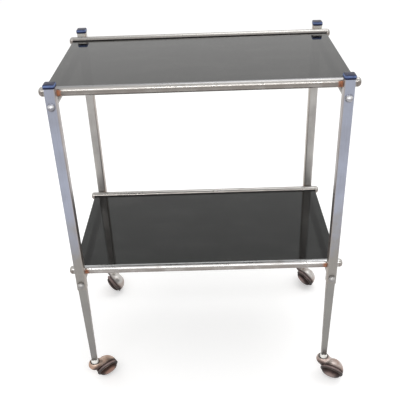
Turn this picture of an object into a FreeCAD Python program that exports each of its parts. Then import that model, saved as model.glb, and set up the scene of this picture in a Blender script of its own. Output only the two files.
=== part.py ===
import FreeCAD, Part
import math
import os
import sys

import Sketcher
from FreeCAD import Placement, Rotation, Vector

# Rolling side table: two ladder frames of square tube legs and slotted round rails, drawn together by tie
# rods inside four crossbars. Two smoked glass shelves sit in the rails. Four canted ball casters carry it.
# Frame: millimetres, +Z up, -Y the front. Origin on the floor under the middle of the shelves.

DIMENSIONS = [
    ("leg_spacing", 536, "leg axis to leg axis, left to right"),
    ("leg_depth_spacing", 354, "leg axis to leg axis, front to back"),
    ("leg_width", 20, "outside of the square upper leg tube"),
    ("leg_wall", 1.5, "wall of the upper leg tube"),
    ("leg_corner", 3, "outside corner radius of the upper leg tube"),
    ("leg_top", 728.5, "top end of the upper leg tube"),
    ("leg_joint", 272, "bottom end of the upper leg tube"),
    ("foot_width", 12, "outside of the lower leg at its foot"),
    ("foot_wall", 1.3, "wall of the lower leg at its foot"),
    ("foot_height", 60, "bottom end of the lower leg above the floor"),
    ("insert_length", 30, "length of lower leg inside the upper leg tube"),
    ("cap_head", 8.5, "height of a leg cap above the tube"),
    ("cap_edge", 3, "rounding of a leg cap's top edge"),
    ("cap_overhang", 1, "leg cap standing out past the tube, all round"),
    ("cap_spigot", 12, "length of a leg cap inside the tube"),
    ("rail_diameter", 18, "outside of a shelf rail"),
    ("rail_wall", 1.5, "wall of a shelf rail"),
    ("rail_length", 572, "rail tube without its end plugs"),
    ("rail_seat", 0.5, "depth of the round seat for a rail in a leg"),
    ("upper_rail_height", 714, "axis of the upper rails"),
    ("lower_rail_height", 307, "axis of the lower rails"),
    ("slot_height", 8, "slot along the inside of a rail"),
    ("slot_back", 2, "back of the slot from the rail axis, towards the glass"),
    ("plug_head", 8, "length of a rail plug outside the tube"),
    ("plug_spigot", 8, "length of a rail plug inside the tube"),
    ("plug_round", 6.5, "rounding of a rail plug's nose"),
    ("glass_length", 570, "shelf glass, left to right"),
    ("glass_depth", 310, "shelf glass, front to back"),
    ("glass_thickness", 5, "shelf glass"),
    ("glass_arris", 0.6, "ground edge of the glass"),
    ("strip_web", 1.5, "back of the glazing strip"),
    ("strip_lip", 0.8, "glazing strip standing out of the rail"),
    ("crossbar_drop", 20, "crossbar axis below the rail axis"),
    ("crossbar_diameter", 16, "outside of a crossbar tube"),
    ("crossbar_wall", 1.5, "wall of a crossbar tube"),
    ("tie_rod_diameter", 6, "tie rod and its thread"),
    ("tie_rod_thread", 6.5, "tie rod standing out of a leg, inside the nut"),
    ("rod_hole_diameter", 6.4, "holes for a tie rod in the legs"),
    ("nut_diameter", 14, "dome nut at its base"),
    ("nut_skirt", 2.2, "straight side of a dome nut"),
    ("nut_height", 9, "dome nut, base to crown"),
    ("nut_bore_depth", 7, "blind bore of a dome nut"),
    ("wheel_cant", 27, "wheel plane from upright, in degrees"),
    ("trail", 25, "floor contact behind the swivel axis"),
    ("tyre_radius", 26.5, "tyre at its crown"),
    ("tyre_width", 6, "tyre across its tread"),
    ("tyre_round", 2.9, "rounding of the tread's two edges"),
    ("tyre_seat_radius", 20, "rim that the tyre is stretched on"),
    ("tyre_gap", 0.8, "hood edge to tyre, along the axle"),
    ("rim_wall", 2, "wall of the wheel rim"),
    ("hub_radius", 6, "wheel hub and the hood's axle boss"),
    ("hub_inboard", 6, "wheel hub behind the hood's edge"),
    ("disc_lip_radius", 22.2, "lip of the wheel disc beside the tyre"),
    ("disc_lip", 1, "thickness of that lip"),
    ("dome_height", 9, "wheel dome beyond the disc"),
    ("dome_wall", 1.2, "sheet of the wheel dome"),
    ("axle_diameter", 6, "wheel axle"),
    ("axle_fit", 0.05, "radial running clearance on the axle"),
    ("axle_head_radius", 4.8, "riveted head that holds the wheel on"),
    ("axle_head", 1.6, "thickness of that head"),
    ("axle_depth", 20, "axle inside the hood, from the hood's edge"),
    ("end_play", 0.3, "play along the axle and under the collar"),
    ("hood_radius", 25.5, "outside of the hood's half ball"),
    ("hood_wall", 1.8, "wall of the hood"),
    ("hood_clearance", 7, "cut edge of the hood above the floor"),
    ("boss_radius", 16, "squat round swivel boss of the hood"),
    ("boss_rise", 12, "half the height of the boss before its top is cut flat"),
    ("boss_height", 43, "middle of the swivel boss above the floor"),
    ("boss_top", 51.4, "flat rim of the boss above the floor"),
    ("seat_radius", 11, "recess in that rim, round the collar"),
    ("waist_round", 8, "blend of the boss into the half ball"),
    ("collar_radius", 9, "bright bell collar of the stem socket, at its foot"),
    ("collar_neck", 6.8, "that collar where it meets the leg"),
    ("collar_height", 10, "that collar, under the leg"),
    ("collar_lip", 1.2, "straight lip at the collar's foot"),
    ("collar_round", 4, "rounding of the bell above the lip"),
    ("socket_wall", 0.65, "tube of the stem socket"),
    ("socket_length", 34, "stem socket inside the leg"),
    ("stem_diameter", 8, "swivel stem"),
    ("stem_fit", 0.05, "radial running clearance of the stem"),
    ("stem_top", 92, "tip of the stem above the floor"),
    ("stem_root", 37, "lower end of the stem inside the boss"),
    ("tip_taper", 3, "tapered tip of the stem"),
    ("groove_depth", 0.6, "grip groove under that tip"),
    ("groove_length", 3, "bottom of the groove"),
    ("groove_step", 1, "slope at each end of the groove"),
]

# Where each corner stands (left/right, front/rear) and which way its caster points, in degrees from +X.
CORNERS = {
    "front_left": (-1, -1, 38.0),
    "front_right": (1, -1, -28.0),
    "rear_right": (1, 1, -56.0),
    "rear_left": (-1, 1, -60.0),
}
LEVELS = ("upper", "lower")

# How close two measures have to be to count as the same: in millimetres, and as a ratio.
NEAR = 0.01
NEAR_RATIO = 0.001
# Sketch outlines start from a rough size and place, and their constraints then pull them to the real ones.
ROUGH_RADIUS = 10
ROUGH_STEP = 40

doc = FreeCAD.newDocument("rolling_side_table")
sheet = doc.addObject("Spreadsheet::Sheet", "Dimensions")
for row, (alias, value, meaning) in enumerate(DIMENSIONS, start=1):
    sheet.set(f"A{row}", alias)
    sheet.set(f"B{row}", str(value))
    sheet.set(f"C{row}", meaning)
    sheet.setAlias(f"B{row}", alias)
doc.recompute()

pieces = {}


def size(alias):
    """A driving dimension as a number."""
    return float(sheet.get(alias))


def bound(formula):
    """The formula with each driving dimension written as a reference to the sheet."""
    words = []
    for word in formula.split():
        core = word.strip("()")
        if core in known:
            word = word.replace(core, "Dimensions." + core)
        words.append(word)
    return " ".join(words)


known = {alias for alias, _, _ in DIMENSIONS}


def bind(thing, prop, formula):
    thing.setExpression(prop, bound(formula))


def new_body(label):
    body = doc.addObject("PartDesign::Body", label)
    body.Label = label
    return body


def keep(piece, label):
    """Files a finished sub-part under the name of its node."""
    piece.Label = label
    pieces[label] = piece
    return piece


def new_sketch(body, plane, name, lift=None):
    """A sketch on one of the body's own origin planes, lifted along its normal by a formula."""
    sketch = body.newObject("Sketcher::SketchObject", name)
    face = next(f for f in body.Origin.OriginFeatures if f.Role == plane)
    sketch.AttachmentSupport = (face, [""])
    sketch.MapMode = "FlatFace"
    if lift:
        bind(sketch, "AttachmentOffset.Base.z", lift)
    return sketch


def polygon(body, plane, name, corners, lift=None):
    """A closed outline whose corners are pairs of formulas in the sketch's own directions."""
    sketch = new_sketch(body, plane, name, lift)
    count = len(corners)
    angles = [2 * math.pi * i / count for i in range(count)]
    start = [Vector(ROUGH_RADIUS * math.cos(a), ROUGH_RADIUS * math.sin(a), 0) for a in angles]
    for i in range(count):
        sketch.addGeometry(Part.LineSegment(start[i], start[(i + 1) % count]))
    for i in range(count):
        sketch.addConstraint(Sketcher.Constraint("Coincident", i, 2, (i + 1) % count, 1))
    for i, (across, up) in enumerate(corners):
        for kind, formula in (("DistanceX", across), ("DistanceY", up)):
            index = sketch.addConstraint(Sketcher.Constraint(kind, -1, 1, i, 1, 1.0))
            bind(sketch, f"Constraints[{index}]", formula)
    doc.recompute()
    return sketch


def circles(body, plane, name, rounds, lift=None):
    """Circles given as (across, up, diameter), each a formula."""
    sketch = new_sketch(body, plane, name, lift)
    for i, (across, up, diameter) in enumerate(rounds):
        sketch.addGeometry(Part.Circle(Vector(i, ROUGH_STEP * i, 0), Vector(0, 0, 1), ROUGH_RADIUS + i))
        for kind, formula in (("DistanceX", across), ("DistanceY", up)):
            index = sketch.addConstraint(Sketcher.Constraint(kind, -1, 1, i, 3, 1.0))
            bind(sketch, f"Constraints[{index}]", formula)
        index = sketch.addConstraint(Sketcher.Constraint("Diameter", i, 2.0 * ROUGH_RADIUS + i))
        bind(sketch, f"Constraints[{index}]", diameter)
    doc.recompute()
    return sketch


def square(body, name, width, lift):
    half = f"{width} / 2"
    minus = f"0 - {width} / 2"
    return polygon(body, "XY_Plane", name,
                   [(minus, minus), (half, minus), (half, half), (minus, half)], lift)


def pad(body, profile, name, length, middle=False, downward=False):
    feature = body.newObject("PartDesign::Pad", name)
    feature.Profile = profile
    feature.SideType = "Symmetric" if middle else "One side"
    feature.Reversed = downward
    bind(feature, "Length", length)
    doc.recompute()
    return feature


def pocket(body, profile, name, length, middle=True, reverse=False):
    """A cut from the profile. It has to take material away, so the volume is compared."""
    before = body.Shape.Volume
    feature = body.newObject("PartDesign::Pocket", name)
    feature.Profile = profile
    feature.Type = "Length"
    feature.SideType = "Symmetric" if middle else "One side"
    feature.Reversed = reverse
    bind(feature, "Length", length)
    doc.recompute()
    if body.Shape.Volume >= before:
        sys.exit(f"{body.Label}: {name} cuts nothing")
    return feature


def revolve(body, profile, name="turning"):
    feature = body.newObject("PartDesign::Revolution", name)
    feature.Profile = profile
    feature.ReferenceAxis = (profile, ["V_Axis"])
    feature.Angle = 360
    doc.recompute()
    return feature


def round_edges(body, name, radius, wanted):
    """Rounds the edges of the body that the test picks."""
    tip = body.Tip
    names = [f"Edge{i}" for i, edge in enumerate(tip.Shape.Edges, start=1) if wanted(edge)]
    if not names:
        sys.exit(f"{body.Label}: {name} finds no edge")
    feature = body.newObject("PartDesign::Fillet", name)
    feature.Base = (tip, names)
    bind(feature, "Radius", radius)
    doc.recompute()
    return feature


def middle_of(edge):
    return edge.valueAt((edge.FirstParameter + edge.LastParameter) / 2)


def is_line(edge):
    return not edge.Degenerated and isinstance(edge.Curve, Part.Line)


def runs_along(edge, axis):
    return is_line(edge) and abs(edge.Curve.Direction.dot(axis)) > 1 - NEAR


def is_ring(edge, radius, centre):
    """A full circle or an arc of this radius about this point."""
    if edge.Degenerated or not isinstance(edge.Curve, Part.Circle):
        return False
    return abs(edge.Curve.Radius - radius) < NEAR and edge.Curve.Center.distanceToPoint(centre) < NEAR


UPRIGHT = Vector(0, 0, 1)
LENGTHWISE = Vector(1, 0, 0)


def stand_at_corner(body, corner):
    """Puts a leg piece on its leg axis. Rear pieces are turned round, their inside to the front."""
    side, end, _ = CORNERS[corner]
    body.Placement = Placement(Vector(), Rotation(UPRIGHT, 0 if end < 0 else 180))
    bind(body, "Placement.Base.x", f"{side} * leg_spacing / 2")
    bind(body, "Placement.Base.y", f"{end} * leg_depth_spacing / 2")


# The rail axis as seen from a leg: the rail lies against the leg's inside face, sunk into it by its seat.
RAIL_OFFSET = "( leg_width + rail_diameter ) / 2 - rail_seat"
THROUGH_LEG = "2 * leg_width"


def upper_leg(corner):
    """Square tube with round seats for its two rails and holes for the two tie rods."""
    body = new_body(f"{corner}_upper_leg")
    pad(body, square(body, "outside", "leg_width", "leg_joint"), "tube", "leg_top - leg_joint")
    round_edges(body, "outside_corners", "leg_corner", lambda e: runs_along(e, UPRIGHT))
    bore = square(body, "inside", "( leg_width - 2 * leg_wall )", "leg_joint")
    inside = size("leg_width") / 2 - size("leg_wall")
    pocket(body, bore, "bore", "leg_top - leg_joint", middle=False, reverse=True)
    round_edges(body, "inside_corners", "leg_corner - leg_wall",
                lambda e: runs_along(e, UPRIGHT) and abs(abs(middle_of(e).x) - inside) < NEAR
                and abs(abs(middle_of(e).y) - inside) < NEAR)
    seats = circles(body, "YZ_Plane", "rail_seats",
                    [(RAIL_OFFSET, f"{level}_rail_height", "rail_diameter") for level in LEVELS])
    pocket(body, seats, "seats", THROUGH_LEG)
    holes = circles(body, "XZ_Plane", "rod_holes",
                    [("0", f"{level}_rail_height - crossbar_drop", "rod_hole_diameter") for level in LEVELS])
    pocket(body, holes, "holes", THROUGH_LEG)
    stand_at_corner(body, corner)
    keep(body, body.Label)


def loft(body, kind, name, first, last):
    feature = body.newObject(f"PartDesign::{kind}", name)
    feature.Profile = first
    feature.Sections = [last]
    feature.Ruled = True
    doc.recompute()
    return feature


def lower_leg(corner):
    """Tapered tube. Its straight head slides up into the upper leg, and a tie rod goes through both."""
    body = new_body(f"{corner}_lower_leg")
    head_width = "( leg_width - 2 * leg_wall )"
    foot = square(body, "foot", "foot_width", "foot_height")
    shoulder = square(body, "shoulder", head_width, "leg_joint")
    loft(body, "AdditiveLoft", "taper", foot, shoulder)
    pad(body, square(body, "head_outline", head_width, "leg_joint"), "head", "insert_length")
    round_edges(body, "corners", "leg_corner - leg_wall",
                lambda e: is_line(e) and e.Length > size("leg_width"))
    foot_bore = square(body, "foot_bore", "( foot_width - 2 * foot_wall )", "foot_height")
    head_bore = square(body, "head_bore", "( leg_width - 4 * leg_wall )", "leg_joint + insert_length")
    loft(body, "SubtractiveLoft", "bore", foot_bore, head_bore)
    hole = circles(body, "XZ_Plane", "rod_hole",
                   [("0", "lower_rail_height - crossbar_drop", "rod_hole_diameter")])
    pocket(body, hole, "hole", THROUGH_LEG)
    stand_at_corner(body, corner)
    keep(body, body.Label)


def leg_cap(corner):
    """Moulded cap: a round-edged head that overhangs the tube's end, and a spigot inside the tube."""
    body = new_body(f"{corner}_leg_cap")
    pad(body, square(body, "outline", "( leg_width + 2 * cap_overhang )", "leg_top"), "head", "cap_head")
    round_edges(body, "corners", "leg_corner + cap_overhang", lambda e: runs_along(e, UPRIGHT))
    crown = size("leg_top") + size("cap_head")
    round_edges(body, "crown", "cap_edge", lambda e: abs(middle_of(e).z - crown) < NEAR)
    inside = square(body, "inside", "( leg_width - 2 * leg_wall )", "leg_top")
    pad(body, inside, "spigot", "cap_spigot", downward=True)
    foot = size("leg_top") - size("cap_spigot") / 2
    round_edges(body, "spigot_corners", "leg_corner - leg_wall",
                lambda e: runs_along(e, UPRIGHT) and abs(middle_of(e).z - foot) < NEAR)
    stand_at_corner(body, corner)
    keep(body, body.Label)


def lay_on_rail(body, level, end):
    """Puts a piece drawn about a rail's axis on that rail. A rail's slot faces the table's middle."""
    body.Placement = Placement(Vector(), Rotation(UPRIGHT, 0 if end < 0 else 180))
    bind(body, "Placement.Base.y", f"{end} * ( leg_depth_spacing / 2 - ( {RAIL_OFFSET} ) )")
    bind(body, "Placement.Base.z", f"{level}_rail_height")


def rail(level, name, end):
    """Round tube with a slot all along the side that faces the glass."""
    body = new_body(f"{level}_{name}_rail")
    ring = circles(body, "YZ_Plane", "section",
                   [("0", "0", "rail_diameter"), ("0", "0", "rail_diameter - 2 * rail_wall")])
    pad(body, ring, "tube", "rail_length", middle=True)
    slot = polygon(body, "YZ_Plane", "slot_outline",
                   [("slot_back", "0 - slot_height / 2"), ("rail_diameter", "0 - slot_height / 2"),
                    ("rail_diameter", "slot_height / 2"), ("slot_back", "slot_height / 2")])
    pocket(body, slot, "slot", "2 * rail_length")
    lay_on_rail(body, level, end)
    keep(body, body.Label)


def glazing_strip(level, name, end):
    """Rubber channel in the rail's slot that holds one edge of the glass."""
    body = new_body(f"{level}_{name}_glazing_strip")
    lip = "rail_diameter / 2 + strip_lip"
    web = "slot_back + strip_web"
    channel = polygon(body, "YZ_Plane", "section",
                      [("slot_back", "0 - slot_height / 2"), (lip, "0 - slot_height / 2"),
                       (lip, "0 - glass_thickness / 2"), (web, "0 - glass_thickness / 2"),
                       (web, "glass_thickness / 2"), (lip, "glass_thickness / 2"),
                       (lip, "slot_height / 2"), ("slot_back", "slot_height / 2")])
    pad(body, channel, "channel", "glass_length", middle=True)
    lay_on_rail(body, level, end)
    keep(body, body.Label)


def rail_plug(level, end, side):
    """Bullnose plug: a round head on the tube's end and a half-moon spigot behind the glazing strip."""
    body = new_body(f"plug_{level}_{'front' if end < 0 else 'rear'}_{'left' if side < 0 else 'right'}")
    tube_end = "rail_length / 2"
    head = circles(body, "YZ_Plane", "head_outline", [("0", "0", "rail_diameter")], tube_end)
    pad(body, head, "head", "plug_head")
    nose = Vector(size("rail_length") / 2 + size("plug_head"), 0, 0)
    round_edges(body, "nose", "plug_round", lambda e: is_ring(e, size("rail_diameter") / 2, nose))
    inside = circles(body, "YZ_Plane", "spigot_outline", [("0", "0", "rail_diameter - 2 * rail_wall")],
                     f"{tube_end} - plug_spigot")
    pad(body, inside, "spigot", "plug_spigot")
    relief = polygon(body, "YZ_Plane", "strip_relief",
                     [("slot_back", "0 - rail_diameter"), ("rail_diameter", "0 - rail_diameter"),
                      ("rail_diameter", "rail_diameter"), ("slot_back", "rail_diameter")],
                     f"{tube_end} - plug_spigot")
    pocket(body, relief, "relief", "plug_spigot", middle=False, reverse=True)
    # A plug is drawn for the right end of a front rail. Turned half round the rail axis and the upright,
    # it fits the left end with its relief still towards the glass.
    turn = Rotation(UPRIGHT, 0 if end < 0 else 180)
    if side * (1 if end < 0 else -1) < 0:
        turn = turn.multiply(Rotation(Vector(0, 1, 0), 180))
    body.Placement = Placement(Vector(), turn)
    bind(body, "Placement.Base.y", f"{end} * ( leg_depth_spacing / 2 - ( {RAIL_OFFSET} ) )")
    bind(body, "Placement.Base.z", f"{level}_rail_height")
    return body


def glass_shelf(level):
    """Glass pane. Its clear field between the strips is a face of its own, the one that things stand on."""
    hidden = "( rail_diameter / 2 + strip_lip - slot_back - strip_web )"
    fields = []
    for name, low, depth in (("front", "0 - glass_depth / 2", hidden),
                             ("clear", f"{hidden} - glass_depth / 2", f"glass_depth - 2 * {hidden}"),
                             ("rear", f"glass_depth / 2 - {hidden}", hidden)):
        box = doc.addObject("Part::Box", f"{level}_glass_{name}")
        bind(box, "Length", "glass_length")
        bind(box, "Width", depth)
        bind(box, "Height", "glass_thickness")
        bind(box, "Placement.Base.x", "0 - glass_length / 2")
        bind(box, "Placement.Base.y", low)
        bind(box, "Placement.Base.z", f"{level}_rail_height - glass_thickness / 2")
        fields.append(box)
    pane = doc.addObject("Part::MultiFuse", f"{level}_glass_pane")
    pane.Shapes = fields
    pane.Refine = False
    doc.recompute()
    arris = doc.addObject("Part::Chamfer", f"{level}_glass_shelf")
    arris.Base = pane
    width = size("glass_arris")
    reach = size("glass_length") / 2
    arris.Edges = [(i, width, width) for i, edge in enumerate(pane.Shape.Edges, start=1)
                   if runs_along(edge, Vector(0, 1, 0)) and abs(abs(middle_of(edge).x) - reach) < NEAR]
    doc.recompute()
    keep(arris, f"{level}_glass_shelf")


def crossbar(level, name, side):
    """Tube between a front and a rear leg, drawn up by the tie rod inside it."""
    body = new_body(f"{level}_{name}_crossbar")
    ring = circles(body, "XZ_Plane", "section",
                   [("0", "0", "crossbar_diameter"), ("0", "0", "crossbar_diameter - 2 * crossbar_wall")])
    pad(body, ring, "tube", "leg_depth_spacing - leg_width", middle=True)
    bind(body, "Placement.Base.x", f"{side} * leg_spacing / 2")
    bind(body, "Placement.Base.z", f"{level}_rail_height - crossbar_drop")
    keep(body, body.Label)


def tie_rod(level, side):
    rod = doc.addObject("Part::Cylinder", f"rod_{level}_{'left' if side < 0 else 'right'}")
    bind(rod, "Radius", "tie_rod_diameter / 2")
    bind(rod, "Height", "leg_depth_spacing + leg_width + 2 * tie_rod_thread")
    rod.Placement = Placement(Vector(), Rotation(LENGTHWISE, -90))
    bind(rod, "Placement.Base.x", f"{side} * leg_spacing / 2")
    bind(rod, "Placement.Base.y", "0 - ( leg_depth_spacing + leg_width ) / 2 - tie_rod_thread")
    bind(rod, "Placement.Base.z", f"{level}_rail_height - crossbar_drop")
    return rod


def dome_nut(level, side, end):
    """Domed nut with a blind bore, its base on the outside face of a leg."""
    body = new_body(f"nut_{level}_{'front' if end < 0 else 'rear'}_{'left' if side < 0 else 'right'}")
    half = polygon(body, "XZ_Plane", "section",
                   [("tie_rod_diameter / 2", "0"), ("nut_diameter / 2", "0"),
                    ("nut_diameter / 2", "nut_height"), ("0", "nut_height"),
                    ("0", "nut_bore_depth"), ("tie_rod_diameter / 2", "nut_bore_depth")])
    revolve(body, half)
    crown = Vector(0, 0, size("nut_height"))
    round_edges(body, "dome", "nut_height - nut_skirt",
                lambda e: is_ring(e, size("nut_diameter") / 2, crown))
    body.Placement = Placement(Vector(), Rotation(LENGTHWISE, 90 if end < 0 else -90))
    bind(body, "Placement.Base.x", f"{side} * leg_spacing / 2")
    bind(body, "Placement.Base.y", f"{end} * ( leg_depth_spacing + leg_width ) / 2")
    bind(body, "Placement.Base.z", f"{level}_rail_height - crossbar_drop")
    return body


def group(label, members):
    """Like pieces that share one node, still separate solids."""
    compound = doc.addObject("Part::Compound", label)
    compound.Links = members
    doc.recompute()
    keep(compound, label)


# The caster is drawn about its swivel axis, with +X the way it trails and the wheel's dome towards -Y.
# The wheel's own axis leans down from -Y by the cant, and along it the hood's edge is at zero.
CANT = math.radians(size("wheel_cant"))
TREAD_MIDDLE = size("tyre_gap") + size("tyre_width") / 2
TREAD_FLAT = size("tyre_width") / 2 - size("tyre_round")
CROWN_RADIUS = size("tyre_radius") - size("tyre_round")
# The tyre meets the floor straight behind the swivel axis, which sets the height and the side offset.
BALL_HEIGHT = (CROWN_RADIUS * math.cos(CANT) + size("tyre_round") + TREAD_FLAT * math.sin(CANT)
               + TREAD_MIDDLE * math.sin(CANT))
BALL_SIDE = CROWN_RADIUS * math.sin(CANT) - (TREAD_MIDDLE + TREAD_FLAT) * math.cos(CANT)
BALL_CENTRE = Vector(size("trail"), -BALL_SIDE, BALL_HEIGHT)
WHEEL_TILT = Rotation(LENGTHWISE, 90 + size("wheel_cant"))


def caster_frame(corner):
    side, end, heading = CORNERS[corner]
    foot = Vector(side * size("leg_spacing") / 2, end * size("leg_depth_spacing") / 2, 0)
    return Placement(foot, Rotation(UPRIGHT, heading))


def wheel_frame(corner):
    return caster_frame(corner).multiply(Placement(BALL_CENTRE, WHEEL_TILT))


def turned(label, points, placement, roundings=()):
    """A body of revolution from (radius, height) formulas, with some of its rings rounded."""
    body = new_body(label)
    revolve(body, polygon(body, "XZ_Plane", "section", points))
    for name, radius, ring_radius, ring_height in roundings:
        centre = Vector(0, 0, ring_height)
        round_edges(body, name, radius, lambda e: is_ring(e, ring_radius, centre))
    body.Placement = placement
    keep(body, label)


def caster_socket(corner):
    """Tube in the leg's foot that the stem turns in, with a bright bell collar under the foot."""
    bore = "stem_diameter / 2 + stem_fit"
    tube = f"{bore} + socket_wall"
    under = "foot_height - collar_height"
    turned(f"{corner}_caster_socket",
           [(bore, under), ("collar_radius", under), ("collar_radius", f"{under} + collar_lip"),
            ("collar_neck", "foot_height"), (tube, "foot_height"),
            (tube, "foot_height + socket_length"), (bore, "foot_height + socket_length")],
           caster_frame(corner),
           [("bell", "collar_round", size("collar_radius"),
             size("foot_height") - size("collar_height") + size("collar_lip"))])


def caster_stem(corner):
    """Swivel stem: held in the boss, turning in the socket, with a grip groove under its tip."""
    full = "stem_diameter / 2"
    waist = f"{full} - groove_depth"
    groove = "stem_top - tip_taper - groove_step"
    turned(f"{corner}_caster_stem",
           [("0", "stem_root"), (full, "stem_root"), (full, f"{groove} - groove_length - groove_step"),
            (waist, f"{groove} - groove_length"), (waist, groove), (full, f"{groove} + groove_step"),
            (waist, "stem_top"), ("0", "stem_top")],
           caster_frame(corner))


def caster_axle(corner):
    """Axle held in the hood, with the riveted head that keeps the wheel on."""
    shank = "axle_diameter / 2"
    under_head = "tyre_gap + tyre_width + disc_lip + end_play"
    turned(f"{corner}_caster_axle",
           [("0", "0 - axle_depth"), (shank, "0 - axle_depth"), (shank, under_head),
            ("axle_head_radius", under_head), ("axle_head_radius", f"{under_head} + axle_head"),
            ("0", f"{under_head} + axle_head")],
           wheel_frame(corner))


def wheel_disc(corner):
    """Hub, web and rim of the wheel in one pressing, with a lip that the tyre and the dome meet."""
    bore = "axle_diameter / 2 + axle_fit"
    outside = "tyre_gap + tyre_width"
    web = f"{outside} - rim_wall"
    rim = "tyre_seat_radius - rim_wall"
    turned(f"{corner}_wheel_disc",
           [(bore, "0 - hub_inboard"), ("hub_radius", "0 - hub_inboard"), ("hub_radius", web), (rim, web),
            (rim, "tyre_gap"), ("tyre_seat_radius", "tyre_gap"), ("tyre_seat_radius", outside),
            ("disc_lip_radius", outside), ("disc_lip_radius", f"{outside} + disc_lip"),
            (bore, f"{outside} + disc_lip")],
           wheel_frame(corner))


def tyre(corner):
    """Rubber tread, round-shouldered, stretched over the rim."""
    outside = "tyre_gap + tyre_width"
    body = new_body(f"{corner}_tyre")
    revolve(body, polygon(body, "XZ_Plane", "section",
                          [("tyre_seat_radius", "tyre_gap"), ("tyre_radius", "tyre_gap"),
                           ("tyre_radius", outside), ("tyre_seat_radius", outside)]))
    rings = [Vector(0, 0, size("tyre_gap")), Vector(0, 0, size("tyre_gap") + size("tyre_width"))]
    round_edges(body, "tread", "tyre_round",
                lambda e: any(is_ring(e, size("tyre_radius"), ring) for ring in rings))
    body.Placement = wheel_frame(corner)
    keep(body, body.Label)


# Joining split faces again would spoil the hood's blended skin, so its features keep them as they are cut.


def ball(body, kind, name, radii, centre, turn, lowest=-90, highest=90):
    """A ball or an egg shape inside a body, whole or from one latitude to another."""
    feature = body.newObject(f"PartDesign::{kind}", name)
    feature.Refine = False
    if "Sphere" in kind:
        bind(feature, "Radius", radii[0])
    else:
        bind(feature, "Radius1", radii[0])
        bind(feature, "Radius2", radii[1])
        bind(feature, "Radius3", radii[1])
    feature.Angle1 = lowest
    feature.Angle2 = highest
    feature.Placement = Placement(centre, turn)
    doc.recompute()
    return feature


def cut_round(body, name, radius, depth, placement):
    """A round hole from the placement along its own z."""
    hole = body.newObject("PartDesign::SubtractiveCylinder", name)
    hole.Refine = False
    bind(hole, "Radius", radius)
    bind(hole, "Height", depth)
    hole.Placement = placement
    doc.recompute()


def cut_level(body, name, bottom):
    """Takes a slab as thick as the whole ball off a caster piece, from this height up."""
    slab = body.newObject("PartDesign::SubtractiveBox", name)
    slab.Refine = False
    bind(slab, "Length", "8 * hood_radius")
    bind(slab, "Width", "8 * hood_radius")
    bind(slab, "Height", "2 * hood_radius")
    corner_offset = -4 * size("hood_radius")
    slab.Placement = Placement(Vector(corner_offset, corner_offset, bottom), Rotation())
    doc.recompute()


def wheel_dome(corner):
    """Bright domed cover over the wheel's face."""
    body = new_body(f"{corner}_wheel_dome")
    base = Vector(0, 0, size("tyre_gap") + size("tyre_width") + size("disc_lip"))
    upright = Rotation()
    ball(body, "AdditiveEllipsoid", "outside", ("dome_height", "disc_lip_radius"), base, upright, lowest=0)
    ball(body, "SubtractiveEllipsoid", "inside", ("dome_height - dome_wall", "disc_lip_radius - dome_wall"),
         base, upright, lowest=0)
    body.Placement = wheel_frame(corner)
    keep(body, body.Label)


def caster_hood(corner):
    """Half-ball hood over the wheel that runs into the squat swivel boss, all one hollow casting."""
    body = new_body(f"{corner}_caster_hood")
    boss_centre = Vector(0, 0, size("boss_height"))
    away_from_wheel = WHEEL_TILT.multiply(Rotation(LENGTHWISE, 180))
    ball(body, "AdditiveSphere", "whole_ball", ("hood_radius",), BALL_CENTRE, away_from_wheel)
    ball(body, "AdditiveEllipsoid", "boss", ("boss_rise", "boss_radius"), boss_centre, Rotation())

    def is_waist(edge):
        """The boss meets the ball in a closed curve that lies on both."""
        if edge.Degenerated:
            return False
        spot = middle_of(edge)
        offset = spot.sub(boss_centre)
        beside = math.hypot(offset.x, offset.y) / size("boss_radius")
        on_boss = abs(math.hypot(beside, offset.z / size("boss_rise")) - 1) < NEAR_RATIO
        return on_boss and abs(spot.distanceToPoint(BALL_CENTRE) - size("hood_radius")) < NEAR

    round_edges(body, "waist", "waist_round", is_waist)
    ball(body, "SubtractiveSphere", "cavity", ("hood_radius - hood_wall",), BALL_CENTRE, away_from_wheel)
    cut_round(body, "mouth", "2 * hood_radius", "2 * hood_radius", Placement(BALL_CENTRE, WHEEL_TILT))
    axle_boss = body.newObject("PartDesign::AdditiveCylinder", "axle_boss")
    axle_boss.Refine = False
    bind(axle_boss, "Radius", "hub_radius")
    bind(axle_boss, "Height", "hood_radius - hood_wall / 2 - hub_inboard - end_play")
    inboard = size("hub_inboard") + size("end_play")
    down_axle = WHEEL_TILT.multVec(UPRIGHT)
    axle_boss.Placement = Placement(BALL_CENTRE - down_axle * inboard, away_from_wheel)
    doc.recompute()
    cut_round(body, "axle_hole", "axle_diameter / 2", "axle_depth", Placement(BALL_CENTRE, away_from_wheel))
    cut_level(body, "floor_cut", size("hood_clearance") - 2 * size("hood_radius"))
    cut_level(body, "rim_cut", size("boss_top"))
    seat = size("foot_height") - size("collar_height") - size("end_play")
    cut_round(body, "collar_seat", "seat_radius", "boss_rise", Placement(Vector(0, 0, seat), Rotation()))
    cut_round(body, "stem_hole", "stem_diameter / 2", "foot_height - stem_root",
              Placement(Vector(0, 0, size("stem_root")), Rotation()))
    body.Placement = caster_frame(corner)
    keep(body, body.Label)


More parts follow.
